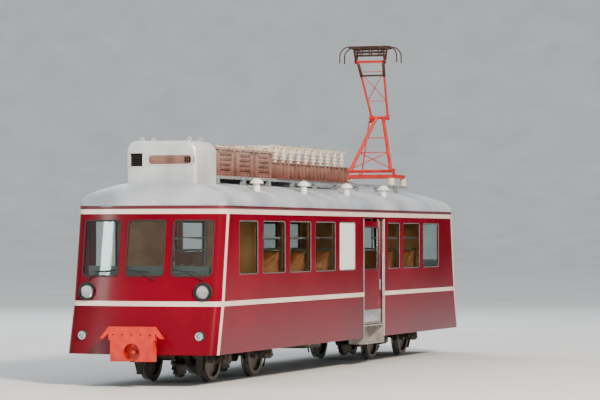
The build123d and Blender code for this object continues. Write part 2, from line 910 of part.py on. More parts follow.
# Nose shells with the windscreen openings, the lamp holes and the opening round the draft box
lamp_places = [(side * headlamp_x, headlamp_z, headlamp_radius) for side in (-1, 1)]
lamp_places += [(side * marker_x, marker_z, marker_radius) for side in (-1, 1)]
outside = nose_form(0)
inside = nose_form(nose_wall)
with BuildPart() as nose:
    add(outside)
    add(inside, mode=Mode.SUBTRACT)
    with BuildSketch(Plane.XZ.offset(nose_join + fit_gap)):
        for middle, width in windscreens:
            with Locations((middle, (window_low_z + windscreen_high_z) / 2)):
                RectangleRounded(
                    width, windscreen_high_z - window_low_z, window_corner
                )
        for x, z, radius in lamp_places:
            with Locations((x, z)):
                Circle(radius + fit_gap)
        with Locations((0, (draft_low_z + draft_high_z) / 2)):
            Rectangle(2 * draft_half_width + 2 * fit_gap, draft_high_z - draft_low_z + 2 * fit_gap)
    extrude(amount=2 * nose_depth, mode=Mode.SUBTRACT)
save(nose.part, "nose_front")
save(mirrored(nose.part, Plane.XZ), "nose_rear")

pane_outside = nose_form(glass_inset)
pane_inside = nose_form(glass_inset + glass)
with BuildPart() as screens:
    add(pane_outside)
    add(pane_inside, mode=Mode.SUBTRACT)
    with BuildSketch(Plane.XZ.offset(nose_join + nose_depth / 2)):
        for middle, width in windscreens:
            with Locations((middle, (window_low_z + windscreen_high_z) / 2)):
                RectangleRounded(
                    width - 2 * fit_gap,
                    windscreen_high_z - window_low_z - 2 * fit_gap,
                    window_corner - fit_gap,
                )
    extrude(amount=nose_depth, mode=Mode.INTERSECT)
    mirror(about=Plane.XZ)
save(screens.part, "windscreens")


# A lamp: a bezel ring through the nose with a lens set in it
def lamps(x, z, radius, proud):
    face = half_length + reach_at(z) - nose_bow * (x / half_width) ** 2
    with BuildPart() as body:
        with BuildSketch(Plane.XZ.offset(face - nose_wall)):
            with Locations((x, z), (-x, z)):
                Circle(radius)
        extrude(amount=nose_wall + proud)
        with BuildSketch(Plane.XZ.offset(face + proud)):
            with Locations((x, z), (-x, z)):
                Circle(radius - lamp_ring)
        extrude(amount=-proud, mode=Mode.SUBTRACT)
        mirror(about=Plane.XZ)
    return body.part


save(lamps(headlamp_x, headlamp_z, headlamp_radius, headlamp_proud), "headlamps")
save(lamps(marker_x, marker_z, marker_radius, marker_proud), "marker_lamps")

# Roof: the arched middle and the two domed ends
with BuildPart() as roof:
    add(roof_prism(0, -dome_join, dome_join))
    add(roof_prism(roof_sheet, -dome_join, dome_join), mode=Mode.SUBTRACT)
save(roof.part, "roof")

dome_outside = dome_form(0)
roof_outside = roof_prism(0, -dome_join, dome_join)
with BuildPart() as roof_ends:
    add(dome_outside)
    add(dome_form(roof_sheet), mode=Mode.SUBTRACT)
    mirror(about=Plane.XZ)
save(roof_ends.part, "roof_ends")

# Raised cream lines: waist and cantrail lines right round, and a line down each corner of the noses
corner_points = [
    (line_side - half_length - reach_at(z) + nose_bow + nose_corner / 2, z)
    for line_side, heights in ((0, (skirt_z, waist_z, cantrail_z)), (corner_line_width, (cantrail_z, waist_z, skirt_z)))
    for z in heights
]
with BuildPart() as bands:
    with BuildSketch(Plane.YZ.offset(-half_width)):
        for middle_z in (waist_z, cantrail_line_z):
            with Locations((-half_length, middle_z)):
                Rectangle(4 * nose_depth, line_height)
    extrude(amount=body_width)
    for start_x in (-half_width - nose_corner, half_width - nose_corner):
        with BuildSketch(Plane.YZ.offset(start_x)):
            with BuildLine():
                Polyline(*corner_points, close=True)
            make_face()
        extrude(amount=2 * nose_corner)
line_skin = nose_form(-line_proud)
with BuildPart() as lines:
    add(line_skin)
    add(outside, mode=Mode.SUBTRACT)
    add(bands.part, mode=Mode.INTERSECT)
    mirror(about=Plane.XZ)
    with BuildSketch(Plane.YZ.offset(half_width)):
        with Locations((0, cantrail_line_z)):
            Rectangle(2 * nose_join, line_height)
        with Locations((along(door_start), waist_z)):
            Rectangle(door_start - half_length + nose_join, line_height, align=(Align.MAX, Align.CENTER))
        with Locations((along(door_end), waist_z)):
            Rectangle(half_length + nose_join - door_end, line_height, align=(Align.MIN, Align.CENTER))
    extrude(amount=line_proud)
    with BuildSketch(Plane.YZ.offset(-half_width - line_proud)):
        with Locations((0, cantrail_line_z)):
            Rectangle(2 * nose_join, line_height)
        with Locations((along(door_start), waist_z)):
            Rectangle(door_start - half_length + nose_join, line_height, align=(Align.MAX, Align.CENTER))
        with Locations((along(door_end), waist_z)):
            Rectangle(half_length + nose_join - door_end, line_height, align=(Align.MIN, Align.CENTER))
    extrude(amount=line_proud)
save(lines.part, "cream_lines")

# Seats in facing bays: place of the back along the side, and the way the seat faces
seat_table = (
    (front_partition + partition_thickness, 1),
    (front_partition + side_bay, -1),
    (front_partition + side_bay, 1),
    (front_partition + 2 * side_bay, -1),
    (front_partition + 2 * side_bay, 1),
    (front_partition + 3 * side_bay, -1),
    (front_partition + 3 * side_bay, 1),
    (door_start - door_seat_room, -1),
    (door_end + door_post, 1),
    (rear_partition - side_bay, -1),
    (rear_partition - side_bay, 1),
    (rear_partition - fit_gap, -1),
)
seat_profile = (
    (0, 330),
    (70, 330),
    (70, 0),
    (380, 0),
    (380, 330),
    (470, 330),
    (480, 390),
    (460, 440),
    (130, 430),
    (60, 1130),
    (0, 1130),
)
with BuildPart() as seats:
    for place, way in seat_table:
        with BuildSketch(Plane.YZ.offset(seat_inner_x)):
            with BuildLine():
                Polyline(
                    *[(along(place) + way * out, floor_top_z + up) for out, up in seat_profile],
                    close=True,
                )
            make_face()
        extrude(amount=seat_outer_x - seat_inner_x)
    mirror(about=Plane.YZ)
save(seats.part, "seats")

# Partitions behind the cabs, open at the aisle
with BuildPart() as partitions:
    with BuildSketch(Plane.XY.offset(floor_top_z)):
        for place in (front_partition - partition_thickness, rear_partition):
            for side in (-1, 1):
                with Locations((side * (half_width - wall + partition_inner_x) / 2, along(place))):
                    Rectangle(
                        half_width - wall - partition_inner_x,
                        partition_thickness,
                        align=(Align.CENTER, Align.MIN),
                    )
    extrude(amount=cantrail_z - floor_top_z)
save(partitions.part, "cab_partitions")

# Driver's desks across the cabs
desk_profile = ((0, 0), (0, 880), (500, 740), (600, 700), (600, 640), (320, 560), (320, 0))
with BuildPart() as desks:
    with BuildSketch(Plane.YZ.offset(-desk_half_width)):
        with BuildLine():
            Polyline(
                *[(-desk_front + back, floor_top_z + up) for back, up in desk_profile], close=True
            )
        make_face()
    extrude(amount=2 * desk_half_width)
    mirror(about=Plane.XZ)
save(desks.part, "driver_desks")

# Equipment boxes and air reservoirs under the floor: middle X, middle Y, width, length, depth
box_table = (
    (-box_x, -0.75, 500, 0.5, 420),
    (box_x, -0.75, 500, 0.35, 420),
    (-box_x, -0.12, 500, 0.45, 360),
    (0, 0.6, 900, 0.43, 400),
)
with BuildPart() as boxes:
    for x, middle_share, width, length_share, depth in box_table:
        with BuildSketch(Plane.XY.offset(sole_low_z - depth)):
            with Locations((x, middle_share * box_end)):
                RectangleRounded(width, length_share * box_end, 30)
        extrude(amount=depth)
save(boxes.part, "underfloor_boxes")

# Two air reservoirs side by side under the sole bars
reservoir_y = 0.7 * box_end
reservoir_length = 0.43 * box_end
with BuildPart() as reservoirs:
    for x in (-reservoir_x, reservoir_x):
        with BuildSketch(Plane.XZ.offset(reservoir_y - reservoir_length / 2)):
            with Locations((x, sole_low_z - reservoir_radius - fit_gap)):
                Circle(reservoir_radius)
        extrude(amount=reservoir_length)
    fillet(reservoirs.edges().filter_by(GeomType.CIRCLE), radius=60)
save(reservoirs.part, "air_reservoirs")

# Silver fairing on the front of the roof, with rounded upper corners, a square intake and a long slot
with BuildPart() as fairing:
    with BuildSketch(Plane.XZ.offset(-along(fairing_end))) as fairing_face:
        with Locations((0, crown_z - fairing_skirt)):
            Rectangle(2 * gear_half_width, fairing_rise + fairing_skirt, align=(Align.CENTER, Align.MIN))
        fillet(fairing_face.vertices().group_by(Axis.Y)[-1], radius=fairing_corner)
    extrude(amount=fairing_end - fairing_start)
    front_edges = fairing.faces().sort_by(Axis.Y)[0].edges()
    fillet(front_edges.sort_by(Axis.Z)[1:], radius=fairing_edge)
    with BuildSketch(Plane.XZ.offset(-along(fairing_start) - fairing_recess)):
        with Locations((-gear_half_width * 0.68, crown_z + intake_height)):
            Rectangle(intake_width, intake_width)
        with Locations((gear_half_width * 0.24, crown_z + intake_height)):
            SlotOverall(slot_length, slot_width)
    extrude(amount=2 * fairing_recess, mode=Mode.SUBTRACT)
    add(roof_outside, mode=Mode.SUBTRACT)
    add(dome_outside, mode=Mode.SUBTRACT)
save(fairing.part, "roof_fairing")

# Resistor boxes in a row behind it, with a louvred opening in each side under a wider lid
with BuildPart() as resistors:
    for number in range(resistor_count):
        middle = along(resistor_start + number * resistor_pitch + resistor_length / 2)
        with BuildSketch(Plane.XY.offset(crown_z + gear_foot)):
            with Locations((0, middle)):
                Rectangle(2 * gear_half_width - 2 * resistor_lid, resistor_length - 2 * resistor_lid)
        extrude(amount=resistor_rise - gear_foot)
        with BuildSketch(Plane.XY.offset(crown_z + resistor_rise - resistor_lid)):
            with Locations((0, middle)):
                Rectangle(2 * gear_half_width, resistor_length)
        extrude(amount=resistor_lid)
        for side in (-1, 1):
            face_x = side * (gear_half_width - resistor_lid)
            with BuildSketch(Plane.YZ.offset(face_x - louvre_depth)):
                with Locations((middle, crown_z + (gear_foot + resistor_rise) / 2)):
                    with GridLocations(0, louvre_pitch, 1, louvre_count):
                        Rectangle(louvre_length, louvre_pitch * 0.62)
            extrude(amount=2 * louvre_depth, mode=Mode.SUBTRACT)
save(resistors.part, "resistor_boxes")

# Roof rails that carry the equipment, resting on the arch through short feet
rail_x = gear_half_width - rail_width
rail_end = panto_y + panto_frame_half_y + rail_overhang
foot_count = int((rail_end - along(fairing_end)) // foot_pitch) + 1
with BuildPart() as roof_rails:
    with BuildSketch(Plane.XY.offset(crown_z + gear_foot - rail_depth)):
        with Locations((rail_x, along(fairing_end)), (-rail_x, along(fairing_end))):
            Rectangle(rail_width, rail_end - along(fairing_end), align=(Align.CENTER, Align.MIN))
    extrude(amount=rail_depth)
    with BuildSketch(Plane.XY.offset(crown_z - 2 * gear_foot)):
        for number in range(foot_count):
            foot_y = along(fairing_end) + foot_pitch * (number + 0.15)
            with Locations((rail_x, foot_y), (-rail_x, foot_y)):
                Rectangle(rail_width, 2 * rail_width)
    extrude(amount=3 * gear_foot - rail_depth)
    add(roof_outside, mode=Mode.SUBTRACT)
save(roof_rails.part, "roof_rails")


# Post insulator with sheds, standing on the XY plane
def insulator(height):
    shed_pitch = height / (shed_count + 1)
    with BuildPart() as post:
        Cylinder(insulator_radius * 0.55, height, align=(Align.CENTER, Align.CENTER, Align.MIN))
        with Locations([(0, 0, shed_pitch * (number + 1)) for number in range(shed_count)]):
            Cylinder(insulator_radius, insulator_shed)
    return post.part


# Grid cassettes behind the resistor boxes, dark and low
bank_middle = along((bank_start + bank_end) / 2)
cassette_pitch = (bank_end - bank_start) / cassette_count
with BuildPart() as cassettes:
    with BuildSketch(Plane.XY.offset(crown_z + gear_foot)):
        with Locations((0, bank_middle)):
            with GridLocations(0, cassette_pitch, 1, cassette_count):
                Rectangle(2 * gear_half_width, cassette_pitch - cassette_gap)
    extrude(amount=cassette_rise)
    with BuildSketch(Plane.YZ.offset(-gear_half_width)):
        with Locations((bank_middle, crown_z + gear_foot + cassette_rise / 2)):
            with GridLocations(cassette_pitch / 4, 0, 4 * cassette_count, 1):
                Rectangle(cassette_pitch / 4 - cassette_gap, cassette_rise - cassette_gap)
    extrude(amount=2 * gear_half_width, mode=Mode.SUBTRACT)
    with BuildSketch(Plane.XY.offset(crown_z + gear_foot)):
        with Locations((0, bank_middle)):
            with GridLocations(0, cassette_pitch, 1, cassette_count):
                Rectangle(2 * gear_half_width - 2 * cassette_gap, cassette_pitch - 2 * cassette_gap)
    extrude(amount=cassette_rise)
save(cassettes.part, "grid_cassettes")

# Insulators on the cassettes, in two rows, carrying the bus bars
bar_low_z = crown_z + bank_rise - bar_depth
post_low_z = crown_z + gear_foot + cassette_rise
bank_post = insulator(bar_low_z - post_low_z)
with BuildPart() as bank:
    with Locations((0, bank_middle, post_low_z)):
        with GridLocations(2 * bar_x, cassette_pitch / 2, 2, 2 * cassette_count):
            add(bank_post)
    with BuildSketch(Plane.XY.offset(bar_low_z)):
        with Locations((bar_x, bank_middle), (-bar_x, bank_middle)):
            Rectangle(bar_depth, bank_end - bank_start)
        with Locations((0, bank_middle)):
            with GridLocations(0, cassette_pitch, 1, cassette_count):
                Rectangle(2 * bar_x, bar_depth)
    extrude(amount=bar_depth)
save(bank.part, "insulator_bank")

# Dome ventilators along both slopes of the roof: a mushroom cap over a short duct
cap_radius = (vent_radius**2 + vent_cap_rise**2) / (2 * vent_cap_rise)
cap_turn = (math.pi / 2 + math.asin((cap_radius - vent_cap_rise) / cap_radius)) / 2
with BuildPart() as vent:
    with BuildSketch(Plane.XZ):
        with BuildLine():
            Polyline(
                (0, vent_cap_rise),
                (0, -vent_duct),
                (vent_radius / 2, -vent_duct),
                (vent_radius / 2, 0),
                (vent_radius, 0),
            )
            ThreePointArc(
                (vent_radius, 0),
                (
                    cap_radius * math.cos(cap_turn),
                    vent_cap_rise - cap_radius * (1 - math.sin(cap_turn)),
                ),
                (0, vent_cap_rise),
            )
        make_face()
    revolve(axis=Axis.Z)
vent_spots = [(side * vent_x, along(place * side_bay), vent_z) for side in (-1, 1) for place in vent_places]
with BuildPart() as ventilators:
    with Locations(vent_spots):
        add(vent.part)
    add(roof_outside, mode=Mode.SUBTRACT)
save(ventilators.part, "ventilators")

# Pantograph base: a tube frame on four insulators, with the brackets of the arm and the rod, and two springs
rod_base_z = panto_pivot_z - rod_base_drop
post_z = crown_z + gear_foot
frame_post = insulator(panto_frame_z - post_z)
bracket_x = lower_base_x + lower_tube + moving_gap
with BuildPart() as panto_base:
    with Locations((0, panto_y, post_z)):
        with GridLocations(2 * rail_x, 2 * panto_frame_half_y, 2, 2):
            add(frame_post)
    with BuildSketch(Plane.XY.offset(panto_frame_z)):
        with Locations((0, panto_y)):
            Rectangle(
                2 * rail_x + 2 * panto_frame_tube, 2 * panto_frame_half_y + 2 * panto_frame_tube
            )
            Rectangle(
                2 * rail_x - 2 * panto_frame_tube,
                2 * panto_frame_half_y - 2 * panto_frame_tube,
                mode=Mode.SUBTRACT,
            )
            Rectangle(2 * rail_x, 2 * panto_frame_tube)
        with Locations((rod_x - 2 * rod_eye, panto_y)):
            Rectangle(rod_eye, 2 * panto_frame_half_y)
    extrude(amount=2 * panto_frame_tube)
    for start_x in (bracket_x, -bracket_x - bracket_thickness):
        with BuildSketch(Plane.YZ.offset(start_x)):
            with BuildLine():
                Polyline(
                    (panto_y - 2 * knee_radius, panto_frame_z),
                    (panto_y + 2 * knee_radius, panto_frame_z),
                    (panto_y + 1.5 * knee_radius, panto_pivot_z + 1.5 * knee_radius),
                    (panto_y - 1.5 * knee_radius, panto_pivot_z + 1.5 * knee_radius),
                    close=True,
                )
            make_face()
            with Locations((panto_y, panto_pivot_z)):
                Circle(knee_radius + running_gap, mode=Mode.SUBTRACT)
        extrude(amount=bracket_thickness)
    with BuildSketch(Plane.YZ.offset(rod_x - 2.5 * rod_eye)):
        with Locations((panto_y + rod_base_y, rod_base_z)):
            Rectangle(4 * rod_radius, 6 * rod_radius)
    extrude(amount=rod_eye)
    with BuildSketch(Plane.YZ.offset(rod_x - 3 * rod_eye)):
        with Locations((panto_y + rod_base_y, rod_base_z)):
            Circle(rod_pin_radius + running_gap)
    extrude(amount=2 * rod_eye, mode=Mode.SUBTRACT)
    with BuildSketch(Plane.XZ.offset(-panto_y)):
        with Locations((spring_x, panto_frame_z + panto_frame_tube), (-spring_x, panto_frame_z + panto_frame_tube)):
            Circle(panto_frame_tube * 0.8)
    extrude(amount=panto_frame_half_y)
save(panto_base.part, "pantograph_base")

# Lower arm: two tubes that close from the base shaft to the knee shaft, drawn raised and leaning back
lean = math.radians(panto_angle)
knee_y = panto_y + panto_arm * math.cos(lean)
knee_z = panto_pivot_z + panto_arm * math.sin(lean)
head_z = panto_pivot_z + 2 * panto_arm * math.sin(lean)
tail_y = knee_y + tail_length * math.cos(lean)
tail_z = knee_z - tail_length * math.sin(lean)
base_shaft = bracket_x + bracket_thickness
with BuildPart() as lower_arm:
    for side in (-1, 1):
        start = Vector(side * lower_base_x, panto_y, panto_pivot_z)
        end = Vector(side * lower_knee_x, knee_y, knee_z)
        with BuildSketch(Plane(origin=start, x_dir=(1, 0, 0), z_dir=end - start)):
            Circle(lower_tube)
        extrude(amount=(end - start).length)
    with BuildSketch(Plane.YZ.offset(-base_shaft)):
        with Locations((panto_y, panto_pivot_z)):
            Circle(knee_radius)
    extrude(amount=2 * base_shaft)
    with BuildSketch(Plane.YZ.offset(-knee_half)):
        with Locations((knee_y, knee_z)):
            Circle(knee_radius)
    extrude(amount=2 * knee_half)
save(lower_arm.part, "panto_lower_arm")

# Upper arm: two tubes that spread from the knee to the head, with knuckles on the knee shaft and a tail lever
with BuildPart() as upper_arm:
    for side in (-1, 1):
        start = Vector(side * upper_knee_x, knee_y, knee_z)
        end = Vector(side * upper_head_x, panto_y, head_z)
        with BuildSketch(Plane(origin=start, x_dir=(1, 0, 0), z_dir=end - start)):
            Circle(upper_tube)
        extrude(amount=(end - start).length)
        with BuildSketch(Plane.YZ.offset(side * upper_knee_x - knuckle_width / 2)):
            with Locations((knee_y, knee_z)):
                Circle(knee_radius * 1.7)
        extrude(amount=knuckle_width)
    with BuildSketch(Plane.YZ.offset(rod_x + rod_eye_half + 2 * running_gap)):
        with Locations(((knee_y + tail_y) / 2, (knee_z + tail_z) / 2)):
            SlotCenterToCenter(tail_length, tail_width, rotation=-panto_angle)
    extrude(amount=-upper_knee_x - rod_x - rod_eye_half - 2 * running_gap)
    with BuildSketch(Plane.YZ.offset(-knee_half - moving_gap)):
        with Locations((knee_y, knee_z)):
            Circle(knee_radius + running_gap)
    extrude(amount=2 * (knee_half + moving_gap), mode=Mode.SUBTRACT)
    with BuildSketch(Plane.YZ.offset(-head_shaft_half)):
        with Locations((panto_y, head_z)):
            Circle(head_shaft_radius)
    extrude(amount=2 * head_shaft_half)
save(upper_arm.part, "panto_upper_arm")

# Collector head: two contact strips with drooping horns, on cross rails and side plates round the head shaft
head_top_z = head_z + head_drop
strip_half = head_half_width - horn_bend
rail_low_z = head_top_z - strip_height - head_rail
horn_z = head_top_z - strip_height / 2
with BuildPart() as head:
    for y in (panto_y - head_half_depth, panto_y + head_half_depth):
        with BuildSketch(Plane.XY.offset(head_top_z - strip_height)):
            with Locations((0, y)):
                Rectangle(2 * strip_half, strip_width)
        extrude(amount=strip_height)
        with BuildSketch(Plane.XY.offset(rail_low_z)):
            with Locations((0, y)):
                Rectangle(2 * strip_half, strip_width * 0.7)
        extrude(amount=head_rail)
        for side in (-1, 1):
            with BuildLine(Plane.XZ.offset(-y)):
                ThreePointArc(
                    (side * strip_half, horn_z),
                    (
                        side * (strip_half + horn_bend * math.sin(math.pi / 4)),
                        horn_z - horn_bend * (1 - math.cos(math.pi / 4)),
                    ),
                    (side * head_half_width, horn_z - horn_bend),
                )
                Line(
                    (side * head_half_width, horn_z - horn_bend),
                    (side * head_half_width, horn_z - horn_drop),
                )
            with BuildSketch(Plane(origin=(side * strip_half, y, horn_z), z_dir=(side, 0, 0))):
                Circle(strip_height / 2)
            sweep()
    for start_x in (plate_x, -plate_x - plate_sheet):
        with BuildSketch(Plane.YZ.offset(start_x)):
            with BuildLine():
                Polyline(
                    (panto_y - head_half_depth, rail_low_z),
                    (panto_y - 1.6 * head_shaft_radius, head_z - 1.6 * head_shaft_radius),
                    (panto_y + 1.6 * head_shaft_radius, head_z - 1.6 * head_shaft_radius),
                    (panto_y + head_half_depth, rail_low_z),
                    close=True,
                )
            make_face()
            with BuildLine():
                Polyline(
                    (panto_y - head_half_depth * 0.6, rail_low_z - head_rail),
                    (panto_y, head_z + 2.2 * head_shaft_radius),
                    (panto_y + head_half_depth * 0.6, rail_low_z - head_rail),
                    close=True,
                )
            make_face(mode=Mode.SUBTRACT)
            with Locations((panto_y, head_z)):
                Circle(head_shaft_radius + running_gap, mode=Mode.SUBTRACT)
        extrude(amount=plate_sheet)
save(head.part, "panto_head")

# Control rod from the base frame to the side of the upper arm's tail, where its eye stays open
rod_start = Vector(rod_x, panto_y + rod_base_y, rod_base_z)
rod_end = Vector(rod_x, tail_y, tail_z)
with BuildPart() as rod:
    with BuildSketch(Plane(origin=rod_start, x_dir=(1, 0, 0), z_dir=rod_end - rod_start)):
        Circle(rod_radius)
    extrude(amount=(rod_end - rod_start).length)
    with BuildSketch(Plane.YZ.offset(rod_x - 2.5 * rod_eye)):
        with Locations((panto_y + rod_base_y, rod_base_z)):
            Circle(rod_pin_radius)
    extrude(amount=2.5 * rod_eye + rod_radius)
    with BuildSketch(Plane.YZ.offset(rod_x - rod_eye_half)):
        with Locations((tail_y, tail_z)):
            Circle(rod_eye)
            Circle(rod_radius * 0.7, mode=Mode.SUBTRACT)
    extrude(amount=2 * rod_eye_half)
save(rod.part, "panto_rod")
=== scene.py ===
import math

import bpy
from mathutils import Matrix, Vector


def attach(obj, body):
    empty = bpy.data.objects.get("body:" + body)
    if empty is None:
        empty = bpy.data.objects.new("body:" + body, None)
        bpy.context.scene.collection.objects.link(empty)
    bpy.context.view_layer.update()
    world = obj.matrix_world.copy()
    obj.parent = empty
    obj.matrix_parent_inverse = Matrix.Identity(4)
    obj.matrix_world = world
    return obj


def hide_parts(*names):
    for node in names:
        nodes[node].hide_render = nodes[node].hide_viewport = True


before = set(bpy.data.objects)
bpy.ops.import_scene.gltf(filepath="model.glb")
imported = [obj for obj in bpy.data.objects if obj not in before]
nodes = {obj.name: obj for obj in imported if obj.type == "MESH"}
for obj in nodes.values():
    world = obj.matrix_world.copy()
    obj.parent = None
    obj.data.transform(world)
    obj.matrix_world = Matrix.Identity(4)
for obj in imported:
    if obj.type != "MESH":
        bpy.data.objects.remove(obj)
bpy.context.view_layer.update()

# Electric rack railcar, one powered car with a cab at each end
# Everything is in metres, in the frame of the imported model: the length runs along Y, the front cab faces -Y

print("stage: frame loaded,", len(nodes), "nodes")

car = {
    "halfLength": 7.0,
    "halfWidth": 1.3,
    "skirt": 0.528,
    "waist": 1.348,
    "windowLow": 1.808,
    "windowHigh": 2.708,
    "windowCorner": 0.06,
    "cantrail": 2.888,
    "noseJoin": 6.44,
    "rake": 0.25,
    "chin": 0.225,
    "bow": 0.15,
    "glassInset": 0.012,
    "floorTop": 1.079,
}
sides = (-1, 1)


def toLinear(code):
    channels = [int(code[start:start + 2], 16) / 255 for start in (1, 3, 5)]
    return tuple(c / 12.92 if c <= 0.04045 else ((c + 0.055) / 1.055) ** 2.4 for c in channels) + (1.0,)


def addNode(tree, kind, settings=None, inputs=None):
    node = tree.nodes.new(kind)
    for name, value in (settings or {}).items():
        setattr(node, name, value)
    for name, value in (inputs or {}).items():
        if isinstance(value, bpy.types.NodeSocket):
            tree.links.new(value, node.inputs[name])
        else:
            node.inputs[name].default_value = value
    return node


def startMaterial(name, settings):
    material = bpy.data.materials.new(name)
    material.use_nodes = True
    tree = material.node_tree
    shader = tree.nodes["Principled BSDF"]
    for socket, value in settings.items():
        shader.inputs[socket].default_value = value
    return material, tree, shader, addNode(tree, "ShaderNodeTexCoord").outputs["Object"]


def makeSurface(name, look):
    # patches of two tones, roughness that follows them, a fine grain in relief, and a tint by height if
    # given: dirt on most finishes, a painted highlight on the tops of the scorched steel
    material, tree, shader, place = startMaterial(name, look.get("shader", {}))
    broad = addNode(
        tree, "ShaderNodeTexNoise", inputs={"Vector": place, "Scale": 1 / look["patch"], "Detail": 5.0}
    )
    tone = addNode(tree, "ShaderNodeValToRGB", inputs={"Fac": broad.outputs["Fac"]})
    for element, position, colour in zip(tone.color_ramp.elements, (0.3, 0.7), (look["dark"], look["light"])):
        element.position = position
        element.color = toLinear(colour)
    colour = tone.outputs["Color"]
    if "heightTint" in look:
        heightTint = look["heightTint"]
        split = addNode(tree, "ShaderNodeSeparateXYZ", inputs={"Vector": place})
        height = addNode(
            tree, "ShaderNodeMapRange",
            inputs={"Value": split.outputs["Z"], "From Min": heightTint["low"], "From Max": heightTint["high"],
                    "To Min": heightTint["amount"], "To Max": heightTint["rest"]},
        )
        stretch = addNode(
            tree, "ShaderNodeMapping", inputs={"Vector": place, "Scale": heightTint.get("stretch", (9.0, 9.0, 0.8))}
        )
        streaks = addNode(
            tree, "ShaderNodeTexNoise",
            inputs={"Vector": stretch.outputs["Vector"], "Scale": 1.0, "Detail": 6.0},
        )
        share = addNode(
            tree, "ShaderNodeMath", {"operation": "MULTIPLY"},
            {0: height.outputs["Result"], 1: streaks.outputs["Fac"]},
        )
        tinted = addNode(
            tree, "ShaderNodeMix", {"data_type": "RGBA"},
            {"Factor": share.outputs["Value"], 6: colour, 7: toLinear(heightTint["colour"])},
        )
        colour = tinted.outputs[2]
    tree.links.new(colour, shader.inputs["Base Color"])
    fine = addNode(
        tree, "ShaderNodeTexNoise", inputs={"Vector": place, "Scale": 1 / look["grain"], "Detail": 3.0}
    )
    rough = addNode(
        tree, "ShaderNodeMapRange",
        inputs={"Value": broad.outputs["Fac"], "From Min": 0.3, "From Max": 0.7,
                "To Min": look["rough"][0], "To Max": look["rough"][1]},
    )
    tree.links.new(rough.outputs["Result"], shader.inputs["Roughness"])
    bump = addNode(
        tree, "ShaderNodeBump",
        inputs={"Strength": look["bump"], "Distance": look["depth"], "Height": fine.outputs["Fac"]},
    )
    tree.links.new(bump.outputs["Normal"], shader.inputs["Normal"])
    return material


def makeGlass(name, tints, rough, weight):
    # a film of two tints over glass, and long soft waves that break up reflections
    material, tree, shader, place = startMaterial(name, {"IOR": 1.5, "Transmission Weight": weight})
    waves = addNode(tree, "ShaderNodeTexNoise", inputs={"Vector": place, "Scale": 2.5, "Detail": 2.0})
    film = addNode(tree, "ShaderNodeValToRGB", inputs={"Fac": waves.outputs["Fac"]})
    for element, tint in zip(film.color_ramp.elements, tints):
        element.color = toLinear(tint)
    tree.links.new(film.outputs["Color"], shader.inputs["Base Color"])
    grime = addNode(
        tree, "ShaderNodeMapRange",
        inputs={"Value": waves.outputs["Fac"], "To Min": rough[0], "To Max": rough[1]},
    )
    tree.links.new(grime.outputs["Result"], shader.inputs["Roughness"])
    bump = addNode(
        tree, "ShaderNodeBump", inputs={"Strength": 0.05, "Distance": 0.002, "Height": waves.outputs["Fac"]}
    )
    tree.links.new(bump.outputs["Normal"], shader.inputs["Normal"])
    return material


